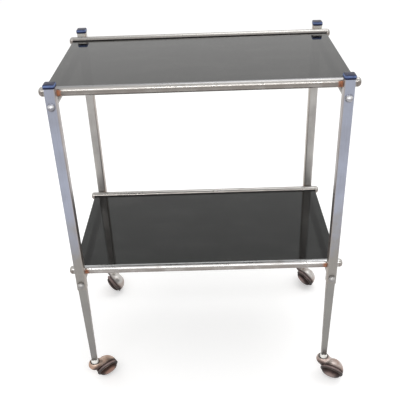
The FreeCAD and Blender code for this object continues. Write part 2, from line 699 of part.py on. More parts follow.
for corner in CORNERS:
    upper_leg(corner)
    lower_leg(corner)
    leg_cap(corner)
for level in LEVELS:
    for name, end in (("front", -1), ("rear", 1)):
        rail(level, name, end)
        glazing_strip(level, name, end)
    for name, side in (("left", -1), ("right", 1)):
        crossbar(level, name, side)
    glass_shelf(level)
ENDS = [(level, side, end) for level in LEVELS for side in (-1, 1) for end in (-1, 1)]
group("rail_end_plugs", [rail_plug(level, end, side) for level, side, end in ENDS])
group("dome_nuts", [dome_nut(level, side, end) for level, side, end in ENDS])
group("tie_rods", [tie_rod(level, side) for level in LEVELS for side in (-1, 1)])
for corner in CORNERS:
    caster_socket(corner)
    caster_stem(corner)
    caster_hood(corner)
    caster_axle(corner)
    wheel_disc(corner)
    wheel_dome(corner)
    tyre(corner)

doc.recompute()
faults = [f"{thing.Label}: {thing.State}" for thing in doc.Objects
          if "Invalid" in thing.State or "Error" in thing.State]
for label, piece in pieces.items():
    shape = piece.Shape
    if shape.isNull() or not shape.isValid() or not shape.Solids:
        faults.append(f"{label}: no valid solid")
if faults:
    sys.exit("\n".join(faults))

os.makedirs("parts", exist_ok=True)
for label, piece in pieces.items():
    piece.Shape.exportStep(os.path.join("parts", f"{label}.step"))
print(len(pieces), "parts,", sum(len(piece.Shape.Solids) for piece in pieces.values()), "solids")
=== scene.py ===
"""Looks of the rolling side table: worked-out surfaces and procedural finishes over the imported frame.

Sizes are in millimetres and meshes in metres. +X runs along the rails, +Y to the rear, +Z up, and the
origin is on the floor under the middle of the shelves.
"""

import logging
import math
from collections.abc import Callable
from dataclasses import dataclass, field
from enum import Enum
from functools import cached_property

import bmesh
import bpy
import numpy as np
from mathutils import Matrix, Vector


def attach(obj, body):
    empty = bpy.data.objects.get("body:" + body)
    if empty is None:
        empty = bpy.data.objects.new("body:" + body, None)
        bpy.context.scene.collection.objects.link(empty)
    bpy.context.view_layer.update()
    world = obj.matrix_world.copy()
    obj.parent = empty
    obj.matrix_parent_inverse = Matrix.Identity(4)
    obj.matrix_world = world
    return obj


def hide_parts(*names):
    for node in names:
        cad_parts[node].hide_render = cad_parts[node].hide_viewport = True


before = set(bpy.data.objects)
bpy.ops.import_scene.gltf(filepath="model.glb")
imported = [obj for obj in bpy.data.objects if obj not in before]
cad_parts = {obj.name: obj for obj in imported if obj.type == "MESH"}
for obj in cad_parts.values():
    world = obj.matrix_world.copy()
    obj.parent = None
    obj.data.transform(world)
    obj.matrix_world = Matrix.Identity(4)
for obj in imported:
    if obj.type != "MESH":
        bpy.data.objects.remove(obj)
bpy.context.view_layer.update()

log = logging.getLogger("rolling_side_table")
Array = np.ndarray
Socket = bpy.types.NodeSocket
Colour = tuple[float, float, float]
MM = 0.001
MOST_NOISE = (0.3, 0.7)


class Corner(Enum):
    """A corner of the table: which way it stands from the middle, and its caster's heading in degrees."""

    FRONT_LEFT = (-1, -1, 38.0)
    FRONT_RIGHT = (1, -1, -28.0)
    REAR_RIGHT = (1, 1, -56.0)
    REAR_LEFT = (-1, 1, -60.0)

    @property
    def label(self) -> str:
        """The corner's name as the nodes have it."""
        return self.name.lower()

    @property
    def side(self) -> int:
        """-1 on the left, 1 on the right."""
        return self.value[0]

    @property
    def end(self) -> int:
        """-1 at the front, 1 at the rear."""
        return self.value[1]

    @property
    def heading(self) -> float:
        """The way the caster trails, in degrees from +X."""
        return self.value[2]


class Level(Enum):
    """A shelf, with the height of its rail axes."""

    UPPER = 714.0
    LOWER = 307.0

    @property
    def label(self) -> str:
        """The level's name as the nodes have it."""
        return self.name.lower()


# Surfaces


def lathe(profile: list[tuple[float, float]], sides: int = 64) -> Array:
    """A profile turned about the local z axis: (r cos a, r sin a, h) for each radius and height.

    Args:
        profile: (radius, height) pairs that start and end on the axis, or end where they start.
        sides: points round the axis.

    Returns:
        Grid of points, one row for each pair.
    """
    radius, height = np.array(profile, float).T
    angle = np.linspace(0, 2 * np.pi, sides, endpoint=False)
    return np.stack([np.outer(radius, np.cos(angle)), np.outer(radius, np.sin(angle)),
                     np.repeat(height[:, None], sides, axis=1)], axis=-1)


def quarter(centre: tuple[float, float], radii: tuple[float, float], start: float, end: float,
            steps: int = 8) -> list[tuple[float, float]]:
    """An arc of an ellipse: centre + (radius cos a, radius sin a) between two angles in degrees.

    Args:
        centre: middle of the ellipse.
        radii: its two half-axes.
        start: first angle.
        end: last angle.
        steps: stretches of the arc.

    Returns:
        The points of the arc, both ends among them.
    """
    angle = np.radians(np.linspace(start, end, steps + 1))
    return list(zip(centre[0] + radii[0] * np.cos(angle), centre[1] + radii[1] * np.sin(angle)))


def rounded_oblong(half_x: float, half_y: float, radius: float, steps: int = 8) -> Array:
    """Outline of an oblong with round corners, run anticlockwise.

    Each corner is a quarter circle about (half - radius), and two points close beside it on the flats keep
    the shading of the flats flat.

    Args:
        half_x: half its width.
        half_y: half its depth.
        radius: corner radius.
        steps: stretches of each quarter circle.

    Returns:
        Points, (n, 2).
    """
    guard = 0.25 * radius
    turn = np.radians(np.linspace(0, 90, steps + 1))
    arc = np.stack([np.cos(turn), np.sin(turn)], axis=1) * radius
    arc = np.vstack([arc[0] - [0, guard], arc, arc[-1] - [guard, 0]])
    spins = [np.array([[c, s], [-s, c]]) for c, s in ((1, 0), (0, 1), (-1, 0), (0, -1))]
    signs = ((1, 1), (-1, 1), (-1, -1), (1, -1))
    return np.vstack([arc @ spin + [sx * (half_x - radius), sy * (half_y - radius)]
                      for spin, (sx, sy) in zip(spins, signs)])


def upright(outlines: list[Array], heights: list[float]) -> Array:
    """Outlines stacked at heights: (x, y) of each outline with its own z.

    Args:
        outlines: outlines with as many points each.
        heights: the z of each.

    Returns:
        Grid of points, one row for each outline.
    """
    return np.stack([np.column_stack([outline, np.full(len(outline), z)])
                     for outline, z in zip(outlines, heights)])


def fold(outer: Array, inner: Array) -> tuple[Array, Array]:
    """A thin wall's section as one loop, and the same loop folded flat on the wall's middle line.

    Args:
        outer: points along one side of the wall.
        inner: as many points along its other side.

    Returns:
        The loop, out along one side and back along the other, and its middle line run out and back.
    """
    middle = (outer + inner) / 2
    return np.vstack([outer, inner[::-1]]), np.vstack([middle, middle[::-1]])


def run_along(section: Array, spine: Array, stations: list[float]) -> Array:
    """A section of (y, z) points carried along x, closed at both ends by folding it on its middle line.

    Args:
        section: the loop.
        spine: the folded loop.
        stations: the places along x.

    Returns:
        Grid of points, one row for each station and one for each end.
    """
    loops = [spine] + [section] * len(stations) + [spine]
    places = [stations[0], *stations, stations[-1]]
    return np.stack([np.column_stack([np.full(len(loop), x), loop]) for loop, x in zip(loops, places)])


def turned_about_z(degrees: float) -> Array:
    """Rows that carry local x, y and z into a frame turned about the upright."""
    c, s = math.cos(math.radians(degrees)), math.sin(math.radians(degrees))
    return np.array([[c, s, 0], [-s, c, 0], [0, 0, 1]])


def axis_to(direction: tuple[float, float, float]) -> Array:
    """Rows of a frame whose local z points along a direction.

    Args:
        direction: the way that local z points, of any length.

    Returns:
        The rows.
    """
    z = np.array(direction, float) / np.linalg.norm(direction)
    x = np.cross([0, 0, 1] if abs(z[2]) < 0.9 else [1, 0, 0], z)
    x /= np.linalg.norm(x)
    return np.array([x, np.cross(z, x), z])


def skin(name: str, grids: list[Array], crease: float = 40.0,
         shade_and_patina: Callable[[Array], Array] | None = None) -> bpy.types.Object:
    """One mesh of closed skins. Each grid's columns join round, and its end rows are poles, folds or one row.

    A grid's quads are turned the other way where its enclosed volume, the sum of a . (b x c) over its
    triangles, comes out negative. Points that fall together are merged, which closes seams and poles.

    Args:
        name: the piece's name.
        grids: grids of points in millimetres, rows by columns by three.
        crease: edges sharper than this many degrees stay sharp.
        shade_and_patina: gives each point's share of dark, painted shade in the main, from its place in
            millimetres.

    Returns:
        The object, with its place in its mesh and an upward share of each point's normal as "skyward".
    """
    points, faces, first = [], [], 0
    for grid in grids:
        index = np.arange(grid.shape[0] * grid.shape[1]).reshape(grid.shape[:2])
        beside = np.roll(index, -1, axis=1)
        quads = np.stack([index[:-1], beside[:-1], beside[1:], index[1:]], axis=-1).reshape(-1, 4)
        flat = grid.reshape(-1, 3)
        a, b, c, d = (flat[quads[:, i]] - flat.mean(axis=0) for i in range(4))
        volume = np.einsum("ij,ij", a, np.cross(b, c)) + np.einsum("ij,ij", a, np.cross(c, d))
        faces.append((quads if volume > 0 else quads[:, ::-1]) + first)
        points.append(flat)
        first += len(flat)
    mesh = bpy.data.meshes.new(name)
    mesh.from_pydata((np.vstack(points) * MM).tolist(), [], np.vstack(faces).tolist())
    work = bmesh.new()
    work.from_mesh(mesh)
    bmesh.ops.remove_doubles(work, verts=work.verts, dist=1e-7)
    work.to_mesh(mesh)
    work.free()
    mesh.polygons.foreach_set("use_smooth", np.ones(len(mesh.polygons), bool))
    mesh.set_sharp_from_angle(angle=math.radians(crease))
    normals = np.empty(3 * len(mesh.vertices), np.float32)
    mesh.vertices.foreach_get("normal", normals)
    mesh.attributes.new("skyward", "FLOAT", "POINT").data.foreach_set("value", normals[2::3].copy())
    if shade_and_patina:
        places = np.empty(3 * len(mesh.vertices), np.float32)
        mesh.vertices.foreach_get("co", places)
        shares = shade_and_patina(places.reshape(-1, 3).astype(float) / MM).astype(np.float32)
        mesh.attributes.new("shade_and_patina", "FLOAT", "POINT").data.foreach_set("value", shares)
    piece = bpy.data.objects.new(name, mesh)
    bpy.context.scene.collection.objects.link(piece)
    return piece


# Finishes


def add_node(tree: bpy.types.NodeTree, kind: str, inputs: dict[int | str, object], output: int | str = 0,
             **settings: object) -> Socket:
    """Adds a node to a material or to the surroundings.

    Args:
        tree: the nodes it joins.
        kind: its type.
        inputs: numbers, colours or sockets by input name or place.
        output: the output wanted.
        settings: its own settings.

    Returns:
        That output.
    """
    node = tree.nodes.new(kind)
    for name, value in settings.items():
        setattr(node, name, value)
    for key, value in inputs.items():
        if isinstance(value, bpy.types.NodeSocket):
            tree.links.new(value, node.inputs[key])
        else:
            node.inputs[key].default_value = value
    return node.outputs[output]


class Recipe:
    """One procedural material, built up node by node on the piece's own coordinates."""

    def __init__(self, name: str) -> None:
        """Starts a material with one Principled shader.

        Args:
            name: the material's name.
        """
        self.material = bpy.data.materials.new(name)
        self.material.use_nodes = True
        self.tree = self.material.node_tree
        self.shader = self.tree.nodes["Principled BSDF"]
        self.place = self.tree.nodes.new("ShaderNodeTexCoord").outputs["Object"]

    def settle(self, **values: float | tuple) -> None:
        """Sets sockets of the shader that are the same all over."""
        for name, value in values.items():
            self.shader.inputs[name.replace("_", " ")].default_value = value

    def feed(self, name: str, source: Socket) -> None:
        """Links a varying value to one of the shader's sockets."""
        self.tree.links.new(source, self.shader.inputs[name])

    def node(self, kind: str, inputs: dict[int | str, object], output: int | str = 0,
             **settings: object) -> Socket:
        """Adds a node to this material, in the way of add_node."""
        return add_node(self.tree, kind, inputs, output, **settings)

    def stretch(self, x: float, y: float, z: float) -> Socket:
        """The piece's coordinates, scaled apart along each axis."""
        return self.node("ShaderNodeMapping", {"Vector": self.place, "Scale": (x, y, z)})

    def noise(self, scale: float, detail: float = 4, rough: float = 0.55, at: Socket | None = None) -> Socket:
        """Cloudy noise, 0 to 1 about 0.5."""
        return self.node("ShaderNodeTexNoise", {"Vector": at or self.place, "Scale": scale, "Detail": detail,
                                                "Roughness": rough})

    def specks(self, scale: float, reach: float, core: float = 0.0) -> Socket:
        """Many scattered dots: 1 within a core about each point, falling smoothly to 0 at a reach from it."""
        away = self.node("ShaderNodeTexVoronoi", {"Vector": self.place, "Scale": scale})
        return self.span(away, core, reach, 1.0, 0.0)

    def reckon(self, operation: str, first: Socket | float, second: Socket | float = 0.0) -> Socket:
        """Arithmetic on one or two values."""
        return self.node("ShaderNodeMath", {0: first, 1: second}, operation=operation)

    def times(self, first: Socket | float, second: Socket | float) -> Socket:
        """The product of two values."""
        return self.reckon("MULTIPLY", first, second)

    def plus(self, first: Socket | float, second: Socket | float) -> Socket:
        """The sum of two values."""
        return self.reckon("ADD", first, second)

    def minus(self, first: Socket | float, second: Socket | float) -> Socket:
        """The first value less the second."""
        return self.reckon("SUBTRACT", first, second)

    def most(self, first: Socket | float, second: Socket | float) -> Socket:
        """The larger of two values."""
        return self.reckon("MAXIMUM", first, second)

    def span(self, value: Socket, low: float, high: float, out_low: float = 0.0,
             out_high: float = 1.0) -> Socket:
        """A value carried from one range to another, smoothly, and held at both ends.

        Args:
            value: what is carried.
            low: where the first range starts.
            high: where it ends, which may lie below its start.
            out_low: where the second range starts.
            out_high: where it ends.

        Returns:
            The carried value.
        """
        return self.node("ShaderNodeMapRange", {"Value": value, "From Min": low, "From Max": high,
                                                "To Min": out_low, "To Max": out_high},
                         interpolation_type="SMOOTHSTEP")

    def sway(self, noise: Socket, low: float, high: float) -> Socket:
        """Noise carried to a range of its own, over the stretch that most of it lies in."""
        return self.span(noise, *MOST_NOISE, low, high)

    def blend(self, share: Socket | float, first: Socket | Colour, second: Socket | Colour) -> Socket:
        """One colour passing into another.

        Args:
            share: 0 for the first colour, 1 for the second.
            first: the first colour.
            second: the second one.

        Returns:
            The mixed colour.
        """
        near, far = (value if isinstance(value, bpy.types.NodeSocket) else (*value, 1.0)
                     for value in (first, second))
        return self.node("ShaderNodeMix", {0: share, 6: near, 7: far}, 2, data_type="RGBA")

    def part(self, axis: str) -> Socket:
        """One of the piece's coordinates, in metres."""
        return self.node("ShaderNodeSeparateXYZ", {0: self.place}, axis)

    def out_from(self, axis: str, line: float) -> Socket:
        """How far a place lies outside a line and its mirror image across the table, in metres."""
        return self.minus(self.reckon("ABSOLUTE", self.part(axis)), line)

    def own(self, name: str) -> Socket:
        """A value that each point of the piece carries: its upward share "skyward", or its share of painted
        shade and darkening.
        """
        return self.node("ShaderNodeAttribute", {}, "Fac", attribute_name=name)

    def near(self, value: Socket, centre: float, reach: float) -> Socket:
        """1 at a value, falling smoothly to 0 at a reach from it."""
        return self.span(self.reckon("ABSOLUTE", self.minus(value, centre)), 0.0, reach, 1.0, 0.0)

    def finished(self, colour: Socket, rough: Socket, height: Socket, depth: float, strength: float,
                 **fixed: float) -> bpy.types.Material:
        """Feeds the shader what varies, and settles what doesn't.

        Args:
            colour: the base colour.
            rough: the roughness.
            height: the bumps' height, in shares of the depth.
            depth: what a height of 1 stands for, in metres.
            strength: the bumps' share.
            fixed: sockets of the shader that are the same all over.

        Returns:
            The material.
        """
        self.feed("Base Color", colour)
        self.feed("Roughness", rough)
        self.feed("Normal", self.node("ShaderNodeBump", {"Strength": strength, "Distance": depth,
                                                         "Height": height}))
        self.settle(**fixed)
        return self.material


@dataclass(frozen=True)
class WornPlating:
    """Bright plating, dulled with wear: fine scratches along the piece, tarnished undersides deepened by
    painted shade, a painted reflection tone on top, and rusty joints.

    Distances and heights are in metres here and in the other finishes, as the shader reads them.
    """

    name: str
    bright: Colour = (0.40, 0.39, 0.375)
    crown: Colour = (0.40, 0.39, 0.375)
    tarnish_and_shade: Colour = (0.22, 0.20, 0.185)
    scratched: Colour = (0.195, 0.175, 0.155)
    lower_painted_shade: Colour = (0.27, 0.255, 0.23)
    freckle: Colour = (0.105, 0.07, 0.052)
    rust: Colour = (0.25, 0.075, 0.028)
    fresh_rust: Colour = (0.52, 0.20, 0.085)
    grain: tuple[float, float, float] = (30.0, 900.0, 900.0)
    roughness: tuple[float, float] = (0.18, 0.36)
    lit_above: float = 0.5
    rusty_at: float | None = None
    rusty_past: float = 0.1595
    rust_reach: float = 0.0155
    painted_shade_below: float | None = None

    def rusty(self, mix: Recipe) -> Socket:
        """Where rust breaks through: in scattered spots, and in a patch by each leg where the piece has legs.

        Args:
            mix: the material it is for.

        Returns:
            The share of rust.
        """
        spots = mix.span(mix.noise(140, 5, 0.7), 0.66, 0.76, 0.0, 0.5)
        if self.rusty_at is None:
            return spots
        joint = mix.near(mix.reckon("ABSOLUTE", mix.part("X")), self.rusty_at, self.rust_reach)
        leg_side = mix.span(mix.out_from("Y", self.rusty_past), 0.0, 0.004)
        low = mix.span(mix.own("skyward"), self.lit_above + 0.2, self.lit_above - 0.1, 0.25, 1.0)
        patch = mix.plus(mix.times(mix.times(joint, leg_side), low), mix.noise(90, 6, 0.7))
        return mix.most(spots, mix.span(patch, 0.90, 1.42, 0.0, 0.85))

    def paint(self) -> bpy.types.Material:
        """Makes the material.

        Returns:
            The material.
        """
        mix = Recipe(self.name)
        clouds = mix.noise(28, 5, 0.6)
        scratches = mix.noise(1, 3, 0.6, mix.stretch(*self.grain))
        pits = mix.specks(520, 0.22)
        # Undersides below lit_above take the darker colour: partly tarnished, partly painted shade and
        # painted reflection of the darker ground.
        under = mix.span(mix.own("skyward"), self.lit_above + 0.12, self.lit_above - 0.3)
        dull_and_shaded = mix.times(under, mix.span(clouds, 0.2, 0.62, 0.55, 1.0))
        dull_and_shaded = mix.most(dull_and_shaded, mix.span(clouds, 0.58, 0.78, 0.0, 0.55))
        # Upward-facing parts take the crown colour: a painted reflection tone for the top band above the
        # highlight.
        colour = mix.blend(mix.span(mix.own("skyward"), 0.76, 0.88), self.bright, self.crown)
        colour = mix.blend(dull_and_shaded, colour, self.tarnish_and_shade)
        colour = mix.blend(mix.span(scratches, 0.35, 0.7, 0.0, 0.16), colour, self.scratched)
        # Below a set height the colour darkens: painted shade on the lower nuts under the upper shelf.
        if self.painted_shade_below is not None:
            below = mix.span(mix.part("Z"), self.painted_shade_below, self.painted_shade_below - 0.01, 0.0, 0.55)
            colour = mix.blend(below, colour, self.lower_painted_shade)
        freckles = mix.times(pits, mix.span(mix.noise(60, 3), 0.58, 0.75, 0.0, 0.6))
        colour = mix.blend(freckles, colour, self.freckle)
        share = self.rusty(mix)
        rust = mix.blend(mix.span(mix.noise(200, 4), 0.35, 0.6), self.rust, self.fresh_rust)
        mix.feed("Metallic", mix.minus(1.0, mix.times(share, 0.9)))
        rough = mix.plus(mix.sway(clouds, *self.roughness), mix.times(scratches, 0.08))
        bumps = mix.plus(mix.times(scratches, 0.25), mix.plus(mix.times(share, 1.2), pits))
        return mix.finished(mix.blend(share, colour, rust), mix.most(rough, mix.times(share, 0.8)), bumps,
                            depth=0.00012, strength=0.35)


@dataclass(frozen=True)
class SatinPlating:
    """Satin plating of the legs: brushed lengthwise, with a painted sky reflection that turns darker lower
    down, inner faces toned by dirt and painted reflection, a painted glare on the rear tops, and dirty round
    the nuts.
    """

    name: str
    painted_sky_silver: Colour = (0.345, 0.37, 0.455)
    low: Colour = (0.265, 0.25, 0.23)
    painted_glare: Colour = (0.74, 0.725, 0.67)
    clouded: Colour = (0.235, 0.225, 0.235)
    brushed: Colour = (0.17, 0.163, 0.17)
    beige_and_reflection: Colour = (0.39, 0.34, 0.30)
    brown_and_shade: Colour = (0.195, 0.153, 0.124)
    grime: Colour = (0.09, 0.068, 0.055)
    rust: Colour = (0.22, 0.07, 0.026)
    fresh_rust: Colour = (0.40, 0.16, 0.07)
    low_between: tuple[float, float] = (0.48, 0.34)
    browned_and_shaded_behind: float = 0.65
    joints: tuple[float, float] = (0.714, 0.307)
    joint_reach: float = 0.020
    nuts: tuple[float, float] = (0.694, 0.287)
    nut_radius: float = 0.0070
    grime_reach: float = 0.0026
    leg_x: float = 0.268
    leg_y: float = 0.177
    rust_run: float = 0.75
    rust_spot: float = 1.0
    glare_above: float = 1.0

    def round_nuts(self, mix: Recipe, height: Socket, across: Socket) -> Socket:
        """Grime in a ring about each nut, where sqrt(across^2 + rise^2) is near the nut's radius.

        Args:
            mix: the material it is for.
            height: height above the floor.
            across: distance outside the leg's axis, along x.

        Returns:
            The share of grime.
        """
        rings = []
        for nut in self.nuts:
            rise = mix.reckon("POWER", mix.minus(height, nut), 2.0)
            radius = mix.reckon("SQRT", mix.plus(mix.reckon("POWER", across, 2.0), rise))
            rings.append(mix.near(radius, self.nut_radius, self.grime_reach))
        return mix.times(mix.most(*rings), mix.span(mix.noise(120, 4), 0.3, 0.6, 0.05, 0.28))

    def rusty(self, mix: Recipe, height: Socket, across: Socket, along: Socket) -> Socket:
        """Where rust breaks through: by the rails, in a line up the inner edge, and in specks.

        Args:
            mix: the material it is for.
            height: height above the floor.
            across: distance outside the leg's axis, along x.
            along: distance outside the leg's axis, along y.

        Returns:
            The share of rust.
        """
        spots = mix.most(*(mix.near(height, joint, self.joint_reach) for joint in self.joints))
        by_rail = mix.times(spots, mix.span(along, 0.004, -0.009, 0.0, self.rust_spot))
        share = mix.span(mix.plus(by_rail, mix.noise(110, 6, 0.7)), 0.98, 1.3)
        edge = mix.times(mix.span(along, -0.0058, -0.0088), mix.span(across, -0.0050, -0.0090))
        run = mix.span(mix.plus(height, mix.sway(mix.noise(30, 4), -0.06, 0.06)), 0.52, 0.70)
        share = mix.most(share, mix.times(edge, mix.times(run, self.rust_run)))
        specks = mix.times(mix.specks(300, 0.16), mix.span(mix.noise(34, 4), 0.56, 0.68, 0.0, 0.8))
        return mix.most(share, specks)

    def paint(self) -> bpy.types.Material:
        """Makes the material.

        Returns:
            The material.
        """
        mix = Recipe(self.name)
        brush = mix.noise(1, 4, 0.65, mix.stretch(1500, 1500, 26))
        clouds = mix.noise(16, 5, 0.6)
        height = mix.part("Z")
        across, along = mix.out_from("X", self.leg_x), mix.out_from("Y", self.leg_y)
        # The bluish upper colour is a painted reflection of sky, passing lower down into a darker warm grey.
        drop = mix.span(mix.plus(height, mix.sway(clouds, -0.05, 0.05)), *self.low_between)
        # Above a set height the leg turns near white and less metallic: a painted glare on its top.
        painted_glare = mix.span(height, self.glare_above, self.glare_above + 0.004)
        colour = mix.blend(drop, self.painted_sky_silver, self.low)
        colour = mix.blend(painted_glare, colour, self.painted_glare)
        colour = mix.blend(mix.span(clouds, 0.3, 0.72, 0.0, 0.32), colour, self.clouded)
        colour = mix.blend(mix.span(brush, 0.3, 0.75, 0.0, 0.22), colour, self.brushed)
        # The inner faces take a beige and then a darker tone: partly dirt, partly painted reflection of the
        # dark glass beside them.
        colour = mix.blend(mix.times(mix.span(across, -0.0075, -0.0097), 0.7), colour, self.beige_and_reflection)
        behind = mix.times(mix.span(along, -0.0070, -0.0099), self.browned_and_shaded_behind)
        browned = mix.times(behind, mix.span(mix.noise(22, 4), 0.25, 0.6, 0.45, 1.0))
        colour = mix.blend(browned, colour, self.brown_and_shade)
        colour = mix.blend(self.round_nuts(mix, height, across), colour, self.grime)
        share = self.rusty(mix, height, across, along)
        rust = mix.blend(mix.noise(240, 4), self.rust, self.fresh_rust)
        mix.feed("Metallic", mix.minus(1.0, mix.most(mix.times(share, 0.9), mix.times(painted_glare, 0.6))))
        rough = mix.plus(mix.sway(clouds, 0.26, 0.42), mix.times(brush, 0.10))
        return mix.finished(mix.blend(share, colour, rust), mix.most(rough, mix.times(share, 0.8)),
                            mix.plus(mix.times(brush, 0.6), share), depth=0.00010, strength=0.35)


@dataclass(frozen=True)
class BronzePatina:
    """Worn bronze plating of the casters: worn bright on top with a painted highlight, darkened by the tyre
    as painted shade, and dirty.

    Each piece brings its own share of that darkening: painted shade, with some real darkening of old bronze.
    """

    name: str
    bronze: Colour = (0.40, 0.30, 0.263)
    rubbed_and_lit: Colour = (0.56, 0.50, 0.47)
    brown_and_shade: Colour = (0.08, 0.057, 0.053)
    dirty: Colour = (0.058, 0.036, 0.03)
    lit_rubbed_above: float = 0.35

    def paint(self) -> bpy.types.Material:
        """Makes the material.

        Returns:
            The material.
        """
        mix = Recipe(self.name)
        clouds = mix.noise(55, 6, 0.62)
        # Upward-facing parts turn lighter: partly worn bronze, partly a painted highlight.
        high = mix.span(mix.own("skyward"), self.lit_rubbed_above, self.lit_rubbed_above + 0.5, 0.1, 0.9)
        colour = mix.blend(mix.times(mix.span(clouds, 0.33, 0.60), high), self.bronze, self.rubbed_and_lit)
        # The darkening here is painted shade by the tyre, in the hood's recess and at the cover's bead, with
        # some real darkening of old bronze.
        dark = mix.span(mix.plus(mix.own("shade_and_patina"), mix.sway(clouds, -0.18, 0.18)), 0.12, 0.95)
        colour = mix.blend(mix.times(dark, 0.93), colour, self.brown_and_shade)
        dirt = mix.times(mix.specks(430, 0.25), mix.span(mix.noise(80, 4), 0.5, 0.65, 0.0, 0.7))
        mix.feed("Metallic", mix.minus(1.0, mix.times(dirt, 0.7)))
        rough = mix.plus(mix.sway(clouds, 0.50, 0.40), mix.times(dark, 0.12))
        bumps = mix.plus(mix.times(mix.noise(320, 4, 0.6), 0.4), clouds)
        return mix.finished(mix.blend(dirt, colour, self.dirty), rough, bumps, depth=0.00022, strength=0.35)


@dataclass(frozen=True)
class BrightNickel:
    """Polished nickel of the collars, made near white and half diffuse as a painted highlight, with hairline
    turning marks and dulled clouds.
    """

    name: str
    # Near white and only half metallic, so that the collar shows as a painted highlight.
    colour: Colour = (0.82, 0.81, 0.775)
    dulled: Colour = (0.40, 0.355, 0.305)

    def paint(self) -> bpy.types.Material:
        """Makes the material.

        Returns:
            The material.
        """
        mix = Recipe(self.name)
        clouds = mix.noise(120, 4)
        rings = mix.noise(1, 3, 0.6, mix.stretch(60, 60, 2600))
        colour = mix.blend(mix.span(clouds, 0.56, 0.8, 0.0, 0.45), self.colour, self.dulled)
        rough = mix.span(mix.plus(clouds, rings), 0.6, 1.4, 0.30, 0.42)
        return mix.finished(colour, rough, rings, depth=0.00001, strength=0.2, Metallic=0.55)


@dataclass(frozen=True)
class TurnedSteel:
    """Plain turned or pressed steel, dulled, for the pieces inside."""

    name: str
    colour: Colour = (0.27, 0.26, 0.247)
    browned: Colour = (0.137, 0.10, 0.08)

    def paint(self) -> bpy.types.Material:
        """Makes the material.

        Returns:
            The material.
        """
        mix = Recipe(self.name)
        clouds = mix.noise(90, 5)
        colour = mix.blend(mix.span(clouds, 0.42, 0.7), self.colour, self.browned)
        marks = mix.noise(1, 3, 0.6, mix.stretch(1800, 1800, 1800))
        return mix.finished(colour, mix.sway(clouds, 0.32, 0.55), marks, depth=0.00008, strength=0.3,
                            Metallic=0.95)


@dataclass(frozen=True)
class GlossMoulding:
    """Very dark blue moulding of the leg caps, its blue a painted reflection of sky, finely scuffed on top,
    with a painted highlight in lighter blue on the rounded upper sides.
    """

    name: str
    # The dark navy stands for black plastic with a painted reflection of blue sky in it.
    colour: Colour = (0.010, 0.012, 0.038)
    painted_sheen: Colour = (0.115, 0.165, 0.33)
    scuffed: Colour = (0.045, 0.052, 0.10)
    sheen_above: float = 0.7311

    def paint(self) -> bpy.types.Material:
        """Makes the material.

        Returns:
            The material.
        """
        mix = Recipe(self.name)
        clouds = mix.noise(150, 5, 0.6)
        scuffs = mix.span(mix.noise(1, 4, 0.7, mix.stretch(420, 1900, 900)), 0.52, 0.70)
        top = mix.span(mix.own("skyward"), 0.2, 0.9, 0.25, 0.8)
        share = mix.times(mix.times(scuffs, top), mix.span(clouds, 0.35, 0.6))
        # The rounded upper sides, above the dark bottom edge, turn lighter blue: a painted highlight.
        side = mix.times(mix.span(mix.own("skyward"), 0.85, 0.45),
                         mix.span(mix.part("Z"), self.sheen_above, self.sheen_above + 0.0018))
        body = mix.blend(mix.times(side, mix.span(clouds, 0.3, 0.6, 0.6, 1.0)), self.colour, self.painted_sheen)
        rough = mix.plus(mix.sway(clouds, 0.14, 0.28), mix.times(share, 0.3))
        return mix.finished(mix.blend(share, body, self.scuffed), rough,
                            mix.minus(clouds, mix.times(share, 0.6)), depth=0.00010, strength=0.3,
                            Specular_IOR_Level=0.14)


@dataclass(frozen=True)
class Rubber:
    """Black rubber, matt, with dust lying on it where it is turned up."""

    name: str
    black: Colour = (0.022, 0.020, 0.020)
    dust: Colour = (0.20, 0.165, 0.145)
    dustiness: float = 0.2
    lies_above: float = -0.9
    grain: float = 420.0

    def paint(self) -> bpy.types.Material:
        """Makes the material.

        Returns:
            The material.
        """
        mix = Recipe(self.name)
        grain = mix.noise(self.grain, 5, 0.7)
        lying = mix.span(mix.own("skyward"), self.lies_above, 0.85, 0.08, 1.0)
        share = mix.times(mix.times(lying, self.dustiness),
                          mix.span(mix.noise(70, 5, 0.65), 0.25, 0.7, 0.6, 1.25))
        return mix.finished(mix.blend(share, self.black, self.dust), mix.sway(grain, 0.55, 0.85), grain,
                            depth=0.00016, strength=0.4)


@dataclass(frozen=True)
class SmokedGlass:
    """Clear glass tinted a smoky grey, with faint smears and dried water spots."""

    name: str
    smoke: Colour = (0.016, 0.016, 0.015)
    film: Colour = (0.030, 0.0295, 0.028)
    index: float = 1.45

    def paint(self) -> bpy.types.Material:
        """Makes the material.

        Returns:
            The material.
        """
        mix = Recipe(self.name)
        smears = mix.noise(1, 5, 0.6, mix.stretch(7, 16, 7))
        spots = mix.times(mix.specks(46, 0.20, 0.05), mix.span(mix.noise(9, 4), 0.5, 0.66))
        share = mix.most(mix.span(smears, 0.42, 0.75, 0.0, 0.75), spots)
        rough = mix.plus(mix.span(smears, 0.35, 0.75, 0.015, 0.075), mix.times(spots, 0.06))
        return mix.finished(mix.blend(share, self.smoke, self.film), rough, mix.noise(240, 3),
                            depth=0.00001, strength=0.2, IOR=self.index, Transmission_Weight=1.0,
                            Specular_IOR_Level=0.18)


